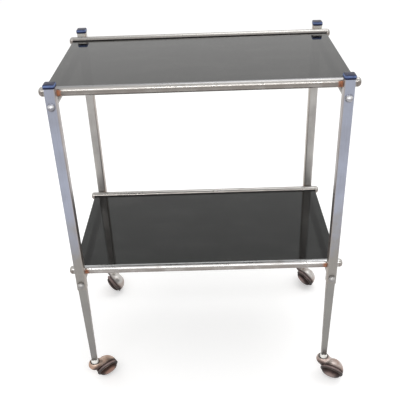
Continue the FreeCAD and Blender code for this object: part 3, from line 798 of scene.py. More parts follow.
class Finish(Enum):
    """Every finish of the table, painted once, when the first piece takes it."""

    RAIL = WornPlating("rail_plating", crown=(0.285, 0.285, 0.295), rusty_at=0.258)
    # The lower front rail's lighter plating and the rear rails' higher lit_above are lit copies of one
    # plating: painted light.
    LOW_RAIL = WornPlating("low_rail_plating", bright=(0.56, 0.55, 0.54), crown=(0.48, 0.487, 0.495),
                           tarnish_and_shade=(0.265, 0.24, 0.225), rusty_at=0.258)
    REAR_RAIL = WornPlating("rear_rail_plating", lit_above=0.7, rusty_at=0.258)
    PLUG = WornPlating("plug_plating", bright=(0.455, 0.44, 0.42), crown=(0.455, 0.44, 0.42),
                       tarnish_and_shade=(0.21, 0.18, 0.165), grain=(500, 500, 500))
    CROSSBAR = WornPlating("crossbar_plating", grain=(900, 30, 900))
    # The nuts' pale top above lit_above is a painted highlight, and their darker undersides are painted shade
    # with tarnished plating.
    NUT = WornPlating("nut_plating", bright=(0.62, 0.62, 0.635), crown=(0.62, 0.62, 0.635),
                      tarnish_and_shade=(0.24, 0.235, 0.265), lit_above=0.38, roughness=(0.40, 0.50),
                      grain=(500, 500, 500), painted_shade_below=0.5)
    LEG = SatinPlating("leg_plating")
    # The rear legs have no painted sky tint, and their tops above the upper rear rail take a painted glare.
    REAR_LEG = SatinPlating("rear_leg_plating", painted_sky_silver=(0.48, 0.468, 0.449), low=(0.48, 0.468, 0.449),
                            browned_and_shaded_behind=0.12, rust_run=0.1, rust_spot=0.3, glare_above=0.712)
    FOOT_LEG = SatinPlating("foot_leg_plating", low=(0.25, 0.244, 0.229), leg_y=0.19)
    CAP = GlossMoulding("cap_moulding")
    STRIP = Rubber("strip_rubber", black=(0.012, 0.012, 0.014), dustiness=0.08)
    GLASS = SmokedGlass("smoked_glass")
    # The lower pane is a darker copy of the smoked glass, with a lower index that dims its reflection:
    # painted shade under the upper shelf.
    LOW_GLASS = SmokedGlass("low_smoked_glass", smoke=(0.013, 0.014, 0.0135), film=(0.024, 0.0245, 0.024),
                            index=1.33)
    NICKEL = BrightNickel("bright_nickel")
    STEEL = TurnedSteel("turned_steel")
    DISC = TurnedSteel("pressed_steel", (0.22, 0.175, 0.153))
    HOOD = BronzePatina("hood_bronze")
    TAN_HOOD = BronzePatina("tan_hood_bronze", bronze=(0.44, 0.295, 0.225), rubbed_and_lit=(0.59, 0.475, 0.40))
    REAR_HOOD = BronzePatina("rear_hood_bronze", bronze=(0.40, 0.337, 0.305), rubbed_and_lit=(0.61, 0.60, 0.585),
                             lit_rubbed_above=0.1)
    # The covers' darker bronze, against the hoods', is painted shade on their downward-facing domes.
    DOME = BronzePatina("dome_bronze", bronze=(0.225, 0.152, 0.137), brown_and_shade=(0.018, 0.013, 0.013),
                        lit_rubbed_above=0.6)
    TAN_DOME = BronzePatina("tan_dome_bronze", bronze=(0.29, 0.16, 0.118), brown_and_shade=(0.022, 0.013, 0.011),
                            lit_rubbed_above=0.6)
    TYRE = Rubber("tyre_rubber", dust=(0.25, 0.178, 0.168), dustiness=0.9, lies_above=-0.05)

    @cached_property
    def material(self) -> bpy.types.Material:
        """Its material."""
        return self.value.paint()


def fit(piece: bpy.types.Object, body: str, finish: Finish, nodes: list[str]) -> None:
    """Dresses a piece and puts it on its body in place of its CAD nodes.

    Args:
        piece: the finished piece.
        body: the body it moves with.
        finish: how it looks.
        nodes: the nodes that it stands for.
    """
    piece.data.materials.append(finish.material)
    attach(piece, body)
    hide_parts(*nodes)
    log.info("%s: %d faces on %s", piece.name, len(piece.data.polygons), body)


def repaint(node: str, finish: Finish) -> None:
    """Gives a CAD node that stays a better material.

    Args:
        node: the node's name.
        finish: how it looks.
    """
    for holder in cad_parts[node].material_slots:
        holder.material = finish.material
    log.info("%s: kept from the frame", node)


# Legs


@dataclass
class Leg:
    """One leg: square upper tube with its rail seats, tapered lower leg and moulded cap."""

    corner: Corner
    spacing: float = 536.0
    depth_spacing: float = 354.0
    width: float = 20.0
    wall: float = 1.5
    corner_radius: float = 3.0
    top: float = 728.5
    joint: float = 272.0
    foot: float = 60.0
    foot_width: float = 12.0
    foot_drawn_in: float = 0.04
    taper_start: float = 20.0
    taper_rows: int = 10
    insert: float = 28.0
    insert_shoulder: float = 0.5
    insert_gap: float = 0.05
    rail_radius: float = 9.0
    rail_seat: float = 0.5
    seat_margin: float = 0.4
    seat_rows: int = 15
    cap_head: float = 8.5
    cap_edge: float = 3.0
    cap_overhang: float = 1.0
    cap_crown: float = 0.35
    edge: float = 0.3

    def place(self, grid: Array) -> Array:
        """Stands a grid on the leg's axis, turned so that local +y looks to the middle of the table.

        Args:
            grid: points about the leg's axis.

        Returns:
            The points in the table's frame.
        """
        turn = turned_about_z(0 if self.corner.end < 0 else 180)
        axis = [self.corner.side * self.spacing / 2, self.corner.end * self.depth_spacing / 2, 0]
        return grid @ turn + axis

    def tube(self) -> Array:
        """The upper tube: a round-cornered square carried upright, its outside joined to its bore.

        Local y is held to y <= offset - sqrt(R^2 - (z - rail)^2) beside each rail, which sinks the seats.

        Returns:
            Grid of points.
        """
        half = self.width / 2
        reach = math.sqrt(self.rail_radius ** 2 - (self.rail_radius - self.rail_seat) ** 2)
        turns = np.linspace(-np.pi / 2, np.pi / 2, self.seat_rows)
        seats = [level.value + reach * np.sin(turns) for level in Level]
        heights = sorted([self.joint, self.joint + self.edge, self.top - self.edge, self.top,
                          *np.concatenate([[seat[0] - self.seat_margin, *seat, seat[-1] + self.seat_margin]
                                           for seat in seats])])
        outer = rounded_oblong(half, half, self.corner_radius)
        pulled = rounded_oblong(half - self.edge, half - self.edge, self.corner_radius - self.edge)
        bore = rounded_oblong(half - self.wall, half - self.wall, self.corner_radius - self.wall)
        ends = (self.joint, self.top)
        grid = upright([bore] + [pulled if z in ends else outer for z in heights] + [bore, bore],
                       [self.joint] + heights + [self.top, self.joint])
        offset = half + self.rail_radius - self.rail_seat
        for level in Level:
            drop = np.clip(self.rail_radius ** 2 - (grid[..., 2] - level.value) ** 2, 0, None)
            grid[..., 1] = np.minimum(grid[..., 1], np.where(drop > 0, offset - np.sqrt(drop), half))
        return self.place(grid)

    def lower(self) -> Array:
        """The lower leg: a round-cornered square whose half width grows in a straight line with height.

        Returns:
            Grid of points.
        """
        wide = self.width / 2 - self.wall
        end = self.joint + self.insert
        heights = [self.foot, self.foot, self.foot + self.edge,
                   *np.linspace(self.foot + self.taper_start, self.joint, self.taper_rows),
                   self.joint + self.insert_shoulder, end, end]
        rows = []
        for z in heights:
            share = min(1.0, (z - self.foot) / (self.joint - self.foot))
            half = self.foot_width / 2 + (wide - self.foot_width / 2) * share
            half -= self.insert_gap if z > self.joint else 0
            rows.append(rounded_oblong(half, half, self.corner_radius - self.wall))
        rows[1] = rows[1] * (1 - self.foot_drawn_in)
        rows[0] = rows[0] * 0
        rows[-1] = rows[-1] * 0
        return self.place(upright(rows, heights))

    def cap(self) -> Array:
        """The cap: an outline a little wider than the tube, drawn in along a quarter circle, and crowned.

        Returns:
            Grid of points.
        """
        half = self.width / 2 + self.cap_overhang
        radius = self.corner_radius + self.cap_overhang
        turns = np.radians(np.linspace(0, 90, 9))
        insets = [self.edge, 0.0, *(self.cap_edge * (1 - np.cos(turns)))]
        shoulder = self.top + self.cap_head - self.cap_crown - self.cap_edge
        heights = [self.top, self.top + self.edge, *(shoulder + self.cap_edge * np.sin(turns))]
        rows = [rounded_oblong(half - i, half - i, radius - i) for i in insets]
        shares = (0.94, 0.7, 0.4, 0.0)
        rows += [rows[-1] * share for share in shares]
        heights += [self.top + self.cap_head - self.cap_crown * share ** 2 for share in shares]
        return self.place(upright([rows[0] * 0] + rows, [self.top] + heights))

    def build(self) -> None:
        """Makes and dresses the leg's three pieces."""
        label = self.corner.label
        upper = Finish.LEG if self.corner.end < 0 else Finish.REAR_LEG
        fit(skin(f"{label}_leg_tube", [self.tube()]), "frame", upper, [f"{label}_upper_leg"])
        fit(skin(f"{label}_tapered_leg", [self.lower()]), "frame", Finish.FOOT_LEG,
            [f"{label}_lower_leg"])
        fit(skin(f"{label}_moulded_cap", [self.cap()]), "frame", Finish.CAP, [f"{label}_leg_cap"])


# Shelves


@dataclass
class Shelf:
    """One shelf: two slotted rails with their plugs and strips, the pane, two crossbars and four nuts."""

    level: Level
    rail_radius: float = 9.0
    rail_wall: float = 1.5
    rail_half: float = 286.0
    rail_y: float = 158.5
    rail_points: int = 73
    slot_half: float = 4.0
    slot_back: float = 2.0
    strip_web: float = 1.5
    strip_lip: float = 0.8
    strip_soft: float = 0.3
    pane_half_x: float = 285.0
    pane_half_y: float = 155.0
    pane_thickness: float = 5.0
    pane_corner: float = 2.0
    pane_gap: float = 0.02
    arris: float = 0.6
    arris_guards: tuple[float, float] = (0.4, 0.8)
    plug_head: float = 8.0
    plug_round: float = 6.5
    plug_crown: tuple[float, float] = (0.15, 0.04)
    bar_x: float = 268.0
    bar_drop: float = 20.0
    bar_radius: float = 8.0
    bar_half: float = 167.0
    nut_face: float = 187.0
    nut_radius: float = 7.0
    nut_height: float = 9.0
    nut_skirt: float = 2.2
    nut_edge: float = 0.3
    edge: float = 0.25

    def on_rail(self, grid: Array, end: int) -> Array:
        """Lays a grid drawn about a rail's axis on that rail, its local +y towards the glass."""
        return grid @ turned_about_z(0 if end < 0 else 180) + [0, end * self.rail_y, self.level.value]

    def rail(self, end: int) -> Array:
        """A rail: two arcs about one axis, open from lip to lip at the slot, carried along x.

        Args:
            end: -1 for the front rail, 1 for the rear one.

        Returns:
            Grid of points.
        """
        bore = self.rail_radius - self.rail_wall
        sides = []
        for radius in (self.rail_radius, bore, self.rail_radius - self.edge):
            lip = math.asin(self.slot_half / radius)
            angle = np.linspace(lip, 2 * np.pi - lip, self.rail_points)
            sides.append(radius * np.stack([np.cos(angle), np.sin(angle)], axis=1))
        section, spine = fold(sides[0], sides[1])
        pulled, _ = fold(sides[2], sides[1])
        half = self.rail_half
        grid = run_along(section, spine, [-half, self.edge - half, half - self.edge, half])
        grid[1, :, 1:] = pulled
        grid[-2, :, 1:] = pulled
        return self.on_rail(grid, end)

    def strip(self, end: int) -> Array:
        """The glazing strip: a channel whose two lips end in small rounds, carried along x.

        Args:
            end: -1 for the front strip, 1 for the rear one.

        Returns:
            Grid of points.
        """
        lip = self.rail_radius + self.strip_lip
        mouth = self.pane_thickness / 2 + self.pane_gap
        soft = self.strip_soft
        thick = self.slot_half - mouth
        outer = [(lip, mouth + thick / 2), (lip - soft / 4, self.slot_half - soft / 2),
                 (lip - soft, self.slot_half), (self.slot_back, self.slot_half)]
        inner = [(lip, mouth + thick / 2), (lip - soft / 4, mouth + soft / 2), (lip - soft, mouth),
                 (self.slot_back + self.strip_web, mouth)]
        outer += [(y, -z) for y, z in outer[::-1]]
        inner += [(y, -z) for y, z in inner[::-1]]
        section, spine = fold(np.array(outer), np.array(inner))
        return self.on_rail(run_along(section, spine, [-self.pane_half_x, self.pane_half_x]), end)

    def plugs(self) -> list[Array]:
        """Bullnose heads at both ends of both rails: a short straight, a quarter round and a low crown.

        Returns:
            A grid of points for each head.
        """
        tip = self.plug_head - self.plug_round
        flat = self.rail_radius - self.plug_round
        rim, halfway = self.plug_crown
        profile = [(0, 0), (self.rail_radius - self.edge, 0), (self.rail_radius, self.edge),
                   *quarter((flat, tip), (self.plug_round, self.plug_round - rim), 0, 90, 12),
                   (flat / 2, self.plug_head - halfway), (0, self.plug_head)]
        return [lathe(profile, 64) @ axis_to((side, 0, 0)) + [side * self.rail_half, end * self.rail_y,
                                                              self.level.value]
                for side in (-1, 1) for end in (-1, 1)]

    def pane(self) -> Array:
        """The pane: an oblong drawn in along quarter circles at its top and bottom edges.

        Returns:
            Grid of points.
        """
        half = self.pane_thickness / 2
        lean = np.radians(np.linspace(0, 90, 5))
        insets = [self.arris * (1 - math.cos(a)) for a in lean]
        lifts = [half - self.arris + self.arris * math.sin(a) for a in lean]
        insets += [self.arris + guard for guard in self.arris_guards]
        lifts += [half, half]
        rows = [rounded_oblong(self.pane_half_x - i, self.pane_half_y - i, self.pane_corner) for i in insets]
        rows = [rows[0] * 0] + rows[::-1] + rows + [rows[0] * 0]
        heights = [-half] + [-z for z in lifts[::-1]] + lifts + [half]
        return upright(rows, heights) + [0, 0, self.level.value]

    def bar(self, side: int) -> Array:
        """A crossbar between a front and a rear leg, its ends against their faces.

        Args:
            side: -1 for the left bar, 1 for the right one.

        Returns:
            Grid of points.
        """
        profile = [(0, -self.bar_half), (self.bar_radius - self.edge, -self.bar_half),
                   (self.bar_radius, self.edge - self.bar_half), (self.bar_radius, self.bar_half - self.edge),
                   (self.bar_radius - self.edge, self.bar_half), (0, self.bar_half)]
        height = self.level.value - self.bar_drop
        return lathe(profile, 64) @ axis_to((0, 1, 0)) + [side * self.bar_x, 0, height]

    def nuts(self) -> list[Array]:
        """Dome nuts: a short straight skirt and a quarter of an ellipse, turned about the tie rod's axis.

        Returns:
            A grid of points for each nut.
        """
        rise = self.nut_height - self.nut_skirt
        profile = [(0, 0), (self.nut_radius - self.nut_edge, 0), (self.nut_radius, self.nut_edge),
                   *quarter((0, self.nut_skirt), (self.nut_radius, rise), 0, 90, 14)]
        return [lathe(profile, 48) @ axis_to((0, end, 0)) + [side * self.bar_x, end * self.nut_face,
                                                             self.level.value - self.bar_drop]
                for side in (-1, 1) for end in (-1, 1)]

    def build(self) -> None:
        """Makes and dresses the shelf's pieces, apart from the plugs and nuts that both shelves share."""
        label = self.level.label
        upper = self.level is Level.UPPER
        front = Finish.RAIL if upper else Finish.LOW_RAIL
        glass = Finish.GLASS if upper else Finish.LOW_GLASS
        for name, end, plating in (("front", -1, front), ("rear", 1, Finish.REAR_RAIL)):
            fit(skin(f"{label}_{name}_slotted_rail", [self.rail(end)]), "frame", plating,
                [f"{label}_{name}_rail"])
            fit(skin(f"{label}_{name}_strip", [self.strip(end)], 60), "frame", Finish.STRIP,
                [f"{label}_{name}_glazing_strip"])
        fit(skin(f"{label}_pane", [self.pane()]), "frame", glass, [f"{label}_glass_shelf"])
        for name, side in (("left", -1), ("right", 1)):
            fit(skin(f"{label}_{name}_bar", [self.bar(side)]), "frame", Finish.CROSSBAR,
                [f"{label}_{name}_crossbar"])


# Casters


@dataclass
class Hood:
    """The caster's hood in its own frame: swivel axis upright through the origin, wheel trailing to +x.

    Every wall is a distance from one point at the waist, which lies inside the ball and inside the boss, so
    that each ray from there meets each wall once. The rays' axis runs from the mouth to the boss's top.
    """

    ball: Array
    away: Array
    ball_radius: float = 25.5
    wall: float = 1.8
    boss: Array = field(default_factory=lambda: np.array([0.0, 0.0, 43.0]))
    boss_radius: float = 16.0
    boss_rise: float = 12.0
    blend: float = 8.0
    waist_share: float = 0.68
    top: float = 51.4
    recess_radius: float = 11.0
    recess_floor: float = 49.7
    floor_gap: float = 7.0
    edge: float = 0.3
    bevel_most: float = 0.6
    sides: int = 192
    wall_rows: int = 96
    cavity_rows: int = 24
    strides: int = 80
    halvings: int = 30

    @property
    def waist(self) -> Array:
        """The point that all rays leave from, a share of the way from the ball's centre to the boss's."""
        return self.ball + self.waist_share * (self.boss - self.ball)

    def distance(self, at: Array) -> Array:
        """Signed distance from points to the outside of ball and boss, joined by a rolled round of radius R.

        The ball is a = |p - c| - r. The boss, an ellipsoid, is b = k (k - 1) / g, with k = |p / r| and
        g = |p / r^2|. With x = R - a, y = R - b and the two normals' product n, the round is
        R - sqrt((x^2 + y^2 - 2 n x y) / (1 - n^2)) where x > n y and y > n x. Elsewhere it is the lesser of
        a and b.

        Args:
            at: points, (..., 3).

        Returns:
            Distances, negative inside.
        """
        from_ball = at - self.ball
        from_boss = at - self.boss
        radii = np.array([self.boss_radius, self.boss_radius, self.boss_rise])
        length = np.maximum(np.linalg.norm(from_ball, axis=-1), 1e-6)
        k = np.linalg.norm(from_boss / radii, axis=-1)
        slope = from_boss / radii ** 2
        g = np.maximum(np.linalg.norm(slope, axis=-1), 1e-6)
        ball = length - self.ball_radius
        boss = k * (k - 1) / g
        product = np.clip((from_ball * slope).sum(axis=-1) / (length * g), -0.98, 0.98)
        x, y = self.blend - ball, self.blend - boss
        in_round = (x > product * y) & (y > product * x)
        spread = np.sqrt((x ** 2 + y ** 2 - 2 * product * x * y) / (1 - product ** 2))
        return np.where(in_round, self.blend - spread, np.minimum(ball, boss))

    def rays(self, lean: Array, angle: Array) -> Array:
        """Unit rays e cos lean + (f cos angle + g sin angle) sin lean, e from the waist to the boss's top.

        Args:
            lean: each ray's angle from the axis, in radians.
            angle: its way round the axis, in radians.

        Returns:
            The rays, (..., 3).
        """
        f, g, e = axis_to(tuple(np.array([0.0, 0.0, self.top]) - self.waist))
        beside = np.cos(angle)[..., None] * f + np.sin(angle)[..., None] * g
        return np.cos(lean)[..., None] * e + np.sin(lean)[..., None] * beside

    def outside(self, lean: Array, angle: Array) -> Array:
        """Points of the outside: each is carried along its ray by the distance that is left until none is.

        Args:
            lean: each ray's angle from the axis, in radians.
            angle: its way round the axis, in radians.

        Returns:
            The points, (..., 3).
        """
        ray = self.rays(lean, angle)
        reach = np.zeros(ray.shape[:-1])
        for _ in range(self.strides):
            reach = reach - np.maximum(self.distance(self.waist + reach[..., None] * ray), -self.blend)
        return self.waist + reach[..., None] * ray

    def inside(self, lean: Array, angle: Array) -> Array:
        """Points of the round inside, sqrt(r^2 - |w|^2 + (w . ray)^2) - w . ray out along each ray.

        Here w runs from the ball's centre to the waist, and r is the radius inside the wall.

        Args:
            lean: each ray's angle from the axis, in radians.
            angle: its way round the axis, in radians.

        Returns:
            The points, (..., 3).
        """
        ray = self.rays(lean, angle)
        start = self.waist - self.ball
        along = ray @ start
        reach = np.sqrt((self.ball_radius - self.wall) ** 2 - start @ start + along ** 2) - along
        return self.waist + reach[..., None] * ray

    def above_cuts(self, at: Array) -> Array:
        """Whether points lie above the mouth's plane and above the cut over the floor."""
        return ((at - self.ball) @ self.away > 0) & (at[..., 2] > self.floor_gap)

    def below_top(self, at: Array) -> Array:
        """Whether points lie below the boss's flat rim."""
        return at[..., 2] < self.top

    def turn_at(self, wall: Callable[[Array, Array], Array], test: Callable[[Array], Array], angle: Array,
                before: bool) -> Array:
        """The lean at which a wall's answer to a test changes on its way down, found by halving.

        Args:
            wall: gives points for leans and angles.
            test: gives true or false for points.
            angle: the way round of each column.
            before: the answer before the change.

        Returns:
            One lean for each column.
        """
        low, high = np.zeros(len(angle)), np.full(len(angle), np.pi)
        for _ in range(self.halvings):
            half = (low + high) / 2
            same = test(wall(half, angle)) == before
            low, high = np.where(same, half, low), np.where(same, high, half)
        return (low + high) / 2

    def grid(self) -> Array:
        """The whole hood as one closed skin: recess, rim, outside, cut edge and the round inside.

        Returns:
            Grid of points.
        """
        angle = np.linspace(0, 2 * np.pi, self.sides, endpoint=False)
        rim = self.turn_at(self.outside, self.below_top, angle, False)
        outer = self.turn_at(self.outside, self.above_cuts, angle, True)
        inner = self.turn_at(self.inside, self.above_cuts, angle, True)
        share = np.linspace(0, 1, self.wall_rows)[:, None]
        leans = rim + (outer - rim) * share
        walls = self.outside(leans, np.broadcast_to(angle, leans.shape))
        leans = inner * np.linspace(1, 0, self.cavity_rows)[:, None]
        cavity = self.inside(leans, np.broadcast_to(angle, leans.shape))
        spokes = walls[0] * [1, 1, 0]
        spokes /= np.linalg.norm(spokes, axis=-1, keepdims=True)
        steps = [(0, self.recess_floor), (self.recess_radius - self.edge, self.recess_floor),
                 (self.recess_radius, self.recess_floor + self.edge),
                 (self.recess_radius, self.top - self.edge / 2),
                 (self.recess_radius + self.edge / 2, self.top)]
        recess = np.stack([radius * spokes + [0, 0, height] for radius, height in steps])
        bevel = []
        for way in (walls[-2] - walls[-1], cavity[0] - walls[-1]):
            step = self.edge / np.linalg.norm(way, axis=-1, keepdims=True)
            bevel.append(walls[-1] + np.minimum(step, self.bevel_most) * way)
        return np.concatenate([recess, walls[:-1], bevel, cavity])


@dataclass
class Caster:
    """One canted ball caster: nickel collar, bronze hood, and the tyred wheel under its domed cover."""

    corner: Corner
    leg_x: float = 268.0
    leg_y: float = 177.0
    cant: float = 27.0
    trail: float = 25.0
    tyre_radius: float = 26.5
    tyre_gap: float = 0.8
    tyre_width: float = 6.0
    tyre_round: float = 2.9
    tyre_flank: float = 1.2
    rim_radius: float = 20.0
    lip_radius: float = 22.2
    lip: float = 1.0
    bead: float = 0.45
    dome_height: float = 9.0
    foot: float = 60.0
    collar_radius: float = 9.0
    collar_neck: float = 6.8
    collar_height: float = 10.0
    collar_lip: float = 1.2
    collar_soft: float = 0.3
    bore: float = 4.05
    tube: float = 4.7
    tube_length: float = 34.0
    shade_and_patina_depth: float = 9.0
    recess_within: float = 11.2
    recess_above: float = 49.5
    dome_spot: float = -3.0
    dome_clear: float = 0.25
    dome_dark: float = 0.85

    @property
    def axle(self) -> Array:
        """The way the wheel's dome looks, in the caster's frame."""
        lean = math.radians(self.cant)
        return np.array([0.0, -math.cos(lean), -math.sin(lean)])

    @property
    def ball(self) -> Array:
        """The ball's centre, set so that the tyre meets the floor straight behind the swivel axis.

        Returns:
            The point, in the caster's frame.
        """
        lean = math.radians(self.cant)
        middle = self.tyre_gap + self.tyre_width / 2
        flat = self.tyre_width / 2 - self.tyre_round
        crown = self.tyre_radius - self.tyre_round
        height = crown * math.cos(lean) + self.tyre_round + (flat + middle) * math.sin(lean)
        side = crown * math.sin(lean) - (middle + flat) * math.cos(lean)
        return np.array([self.trail, -side, height])

    @property
    def leg_axis(self) -> Array:
        """Where the leg's axis meets the floor."""
        return np.array([self.corner.side * self.leg_x, self.corner.end * self.leg_y, 0.0])

    def place(self, grid: Array) -> Array:
        """Carries a grid from the caster's frame to its corner."""
        return grid @ turned_about_z(self.corner.heading) + self.leg_axis

    def from_ball(self, at: Array) -> Array:
        """Points of the table as seen from the ball's centre, in the caster's frame."""
        return (at - self.leg_axis) @ turned_about_z(self.corner.heading).T - self.ball

    def hood_shade_and_patina(self, at: Array) -> Array:
        """Painted shade of the hood, with some real darkening: 1 in the recess and at the mouth, falling to 0
        in a line above the mouth.

        Args:
            at: points of the hood in the table's frame, (n, 3).

        Returns:
            One share for each.
        """
        place = self.from_ball(at)
        shaft = place + self.ball
        recess = (np.hypot(shaft[:, 0], shaft[:, 1]) < self.recess_within) & (shaft[:, 2] > self.recess_above)
        return np.maximum(np.clip(1 - place @ -self.axle / self.shade_and_patina_depth, 0, 1), recess)

    def dome_shade_and_patina(self, at: Array) -> Array:
        """Painted shade of the domed cover, with some real darkening: 1 at its bead, falling inwards in a
        line to a spot off its middle.

        Args:
            at: points of the cover in the table's frame, (n, 3).

        Returns:
            One share for each.
        """
        place = self.from_ball(at)
        spot = self.dome_spot * np.cross([1, 0, 0], self.axle)
        radius = np.linalg.norm(place - (place @ self.axle)[:, None] * self.axle - spot, axis=-1)
        clear = self.dome_clear * self.lip_radius
        return np.clip((radius - clear) / (self.dome_dark * self.lip_radius - clear), 0, 1)

    def on_wheel(self, grid: Array) -> Array:
        """Carries a grid turned about the wheel's axis to the corner."""
        return self.place(grid @ axis_to(tuple(self.axle)) + self.ball)

    def tyre(self) -> Array:
        """The tyre: a flat seat, straight walls and two quarter rounds, turned about the axle.

        Returns:
            Grid of points.
        """
        near, far = self.tyre_gap, self.tyre_gap + self.tyre_width
        crown, radii = self.tyre_radius - self.tyre_round, (self.tyre_round, self.tyre_round)
        profile = [(self.rim_radius, near), (crown - self.tyre_flank, near),
                   *quarter((crown, near + self.tyre_round), radii, -90, 0, 9),
                   *quarter((crown, far - self.tyre_round), radii, 0, 90, 9),
                   (crown - self.tyre_flank, far), (self.rim_radius, far), (self.rim_radius, near)]
        return self.on_wheel(lathe(profile, 128))

    def dome(self) -> Array:
        """The domed cover: a quarter of an ellipse on a small bead, turned about the axle.

        Returns:
            Grid of points.
        """
        base = self.tyre_gap + self.tyre_width + self.lip
        bead = self.bead
        profile = [(0, base), (self.lip_radius - 0.5, base), (self.lip_radius - 0.1, base + 0.1),
                   (self.lip_radius, base + bead), (self.lip_radius - 0.25, base + 2 * bead),
                   *quarter((0, base), (self.lip_radius - 0.35, self.dome_height), 6, 90, 30)]
        return self.on_wheel(lathe(profile, 128))

    def socket(self) -> Array:
        """The bell collar under the foot and its tube up inside the leg, turned about the swivel axis.

        Returns:
            Grid of points.
        """
        under = self.foot - self.collar_height
        soft = self.collar_soft
        lip = under + self.collar_lip
        slope = (self.collar_radius - self.collar_neck) / (self.foot - lip)
        shoulder = self.foot - 3 * soft
        profile = [(self.bore, under), (self.collar_radius - soft, under),
                   *quarter((self.collar_radius - soft, under + soft), (soft, soft), -60, 0, 3),
                   (self.collar_radius, lip), (self.collar_radius - 0.5 * slope, lip + 1),
                   (self.collar_neck + slope * (self.foot - shoulder), shoulder),
                   (self.collar_neck - soft, self.foot - soft), (self.collar_neck - 3 * soft, self.foot),
                   (self.tube, self.foot), (self.tube, self.foot + self.tube_length),
                   (self.bore, self.foot + self.tube_length), (self.bore, under)]
        return self.place(lathe(profile, 64))

    def build(self) -> None:
        """Makes and dresses the caster's pieces, and repaints those that stay from the frame."""
        label = self.corner.label
        hood = Hood(self.ball, -self.axle)
        bronzes = {Corner.FRONT_LEFT: Finish.TAN_HOOD, Corner.FRONT_RIGHT: Finish.HOOD}
        bronze = bronzes.get(self.corner, Finish.REAR_HOOD)
        cover = Finish.TAN_DOME if self.corner is Corner.FRONT_LEFT else Finish.DOME
        fit(skin(f"{label}_nickel_collar", [self.socket()]), "frame", Finish.NICKEL,
            [f"{label}_caster_socket"])
        fit(skin(f"{label}_ball_hood", [self.place(hood.grid())], 50, self.hood_shade_and_patina), f"{label}_caster",
            bronze, [f"{label}_caster_hood"])
        fit(skin(f"{label}_tread", [self.tyre()]), f"{label}_wheel", Finish.TYRE, [f"{label}_tyre"])
        fit(skin(f"{label}_domed_cover", [self.dome()], 60, self.dome_shade_and_patina), f"{label}_wheel",
            cover, [f"{label}_wheel_dome"])
        repaint(f"{label}_caster_stem", Finish.STEEL)
        repaint(f"{label}_caster_axle", Finish.STEEL)
        repaint(f"{label}_wheel_disc", Finish.DISC)


# Studio


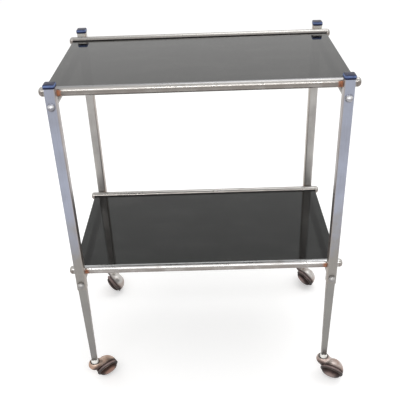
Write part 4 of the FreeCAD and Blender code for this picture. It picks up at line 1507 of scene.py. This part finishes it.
@dataclass
class Studio:
    """Pale floor, pale surroundings, soft lamps, and the camera at the photograph's angle.

    The camera sees floor and surroundings near white, and so do the metal and the glass.
    """

    camera_at: tuple[float, float, float] = (0.0143, -1.2318, 1.1136)
    pitch: float = 30.795
    yaw: float = -1.118
    roll: float = 2.233
    focal_pixels: float = 618.16
    frame_pixels: float = 400.0
    sensor: float = 36.0
    floor_size: float = 14.0
    floor_colour: Colour = (0.80, 0.80, 0.80)
    floor_lift: float = 0.385
    sky: Colour = (1.0, 0.995, 0.985)
    horizon: float = 0.50
    zenith: float = 0.86
    lamps_look_at: tuple[float, float, float] = (0, 0, 0.4)

    def seen(self, tree: bpy.types.NodeTree) -> Socket:
        """1 for the camera, and for what metal and glass show it, and 0 for light that falls on the table.

        Args:
            tree: the nodes it is worked out in.

        Returns:
            The 1 or 0.
        """
        path = tree.nodes.new("ShaderNodeLightPath").outputs
        share = path["Is Camera Ray"]
        for kind in ("Is Glossy Ray", "Is Transmission Ray"):
            share = add_node(tree, "ShaderNodeMath", {0: share, 1: path[kind]}, operation="MAXIMUM")
        return share

    def floor(self) -> None:
        """A flat pale floor that keeps the table's shadow and looks near white to the camera."""
        half = self.floor_size / 2
        mesh = bpy.data.meshes.new("studio_floor")
        corners = [(-half, -half, 0), (half, -half, 0), (half, half, 0), (-half, half, 0)]
        mesh.from_pydata(corners, [], [(0, 1, 2, 3)])
        floor = bpy.data.objects.new("studio_floor", mesh)
        bpy.context.scene.collection.objects.link(floor)
        mix = Recipe("studio_floor")
        mix.settle(Base_Color=(*self.floor_colour, 1), Roughness=0.9, Specular_IOR_Level=0.1,
                   Emission_Color=(1, 1, 1, 1))
        mix.feed("Emission Strength", mix.times(self.seen(mix.tree), self.floor_lift))
        mesh.materials.append(mix.material)

    def surroundings(self) -> None:
        """Soft white surroundings, a little darker towards the horizon, and white to the camera."""
        world = bpy.data.worlds.new("studio_world")
        bpy.context.scene.world = world
        world.use_nodes = True
        tree = world.node_tree
        ways = add_node(tree, "ShaderNodeTexCoord", {}, "Generated")
        up = add_node(tree, "ShaderNodeSeparateXYZ", {0: ways}, "Z")
        rise = add_node(tree, "ShaderNodeMapRange", {"Value": up, "From Min": -0.05, "From Max": 0.9,
                                                     "To Min": self.horizon, "To Max": self.zenith})
        strength = add_node(tree, "ShaderNodeMath", {0: rise, 1: self.seen(tree)}, operation="MAXIMUM")
        background = tree.nodes["Background"].inputs
        background["Color"].default_value = (*self.sky, 1)
        tree.links.new(strength, background["Strength"])

    def lamp(self, name: str, at: tuple[float, float, float], size: tuple[float, float],
             power: float) -> None:
        """A soft oblong lamp that looks at the middle of the table.

        Args:
            name: its name.
            at: its place, in metres.
            size: its two sides, in metres.
            power: in watts.
        """
        light = bpy.data.lights.new(name, "AREA")
        light.shape = "RECTANGLE"
        light.size, light.size_y = size
        light.energy = power
        holder = bpy.data.objects.new(name, light)
        holder.location = at
        holder.rotation_euler = (Vector(self.lamps_look_at) - Vector(at)).to_track_quat("-Z", "Y").to_euler()
        bpy.context.scene.collection.objects.link(holder)

    def camera(self) -> None:
        """The camera: forward, right and down worked out from yaw and pitch, then rolled about forward."""
        pitch, yaw, roll = (math.radians(v) for v in (self.pitch, self.yaw, self.roll))
        forward = Vector((math.sin(yaw) * math.cos(pitch), math.cos(yaw) * math.cos(pitch), -math.sin(pitch)))
        right = Vector((math.cos(yaw), -math.sin(yaw), 0))
        down = forward.cross(right)
        across = math.cos(roll) * right + math.sin(roll) * down
        below = math.cos(roll) * down - math.sin(roll) * right
        lens = bpy.data.cameras.new("studio_camera")
        lens.sensor_width = self.sensor
        lens.lens = self.focal_pixels / self.frame_pixels * self.sensor
        lens.clip_start = 0.05
        lens.clip_end = 60
        holder = bpy.data.objects.new("studio_camera", lens)
        turn = Matrix((across, -below, -forward)).transposed()
        holder.matrix_world = Matrix.Translation(self.camera_at) @ turn.to_4x4()
        bpy.context.scene.collection.objects.link(holder)
        bpy.context.scene.camera = holder

    def build(self) -> None:
        """Sets the floor, the light and the camera."""
        self.floor()
        self.surroundings()
        self.lamp("camera_strip", (-0.1, -1.15, 1.37), (1.7, 0.16), 9)
        self.lamp("top_softbox", (0.5, 0.6, 2.4), (1.6, 1.2), 14)
        self.camera()
        bpy.context.scene.view_settings.view_transform = "Standard"
        log.info("studio: floor, surroundings, two lamps and the camera")


def main() -> None:
    """Builds the table piece by piece, then the studio."""
    logging.basicConfig(level=logging.INFO, format="%(name)s: %(message)s")
    for corner in Corner:
        Leg(corner).build()
    shelves = [Shelf(level) for level in Level]
    for shelf in shelves:
        shelf.build()
    fit(skin("bullnose_plugs", [grid for shelf in shelves for grid in shelf.plugs()]), "frame",
        Finish.PLUG, ["rail_end_plugs"])
    fit(skin("domed_nuts", [grid for shelf in shelves for grid in shelf.nuts()]), "frame",
        Finish.NUT, ["dome_nuts"])
    repaint("tie_rods", Finish.STEEL)
    for corner in Corner:
        Caster(corner).build()
    Studio().build()


if __name__ == "__main__":
    main()
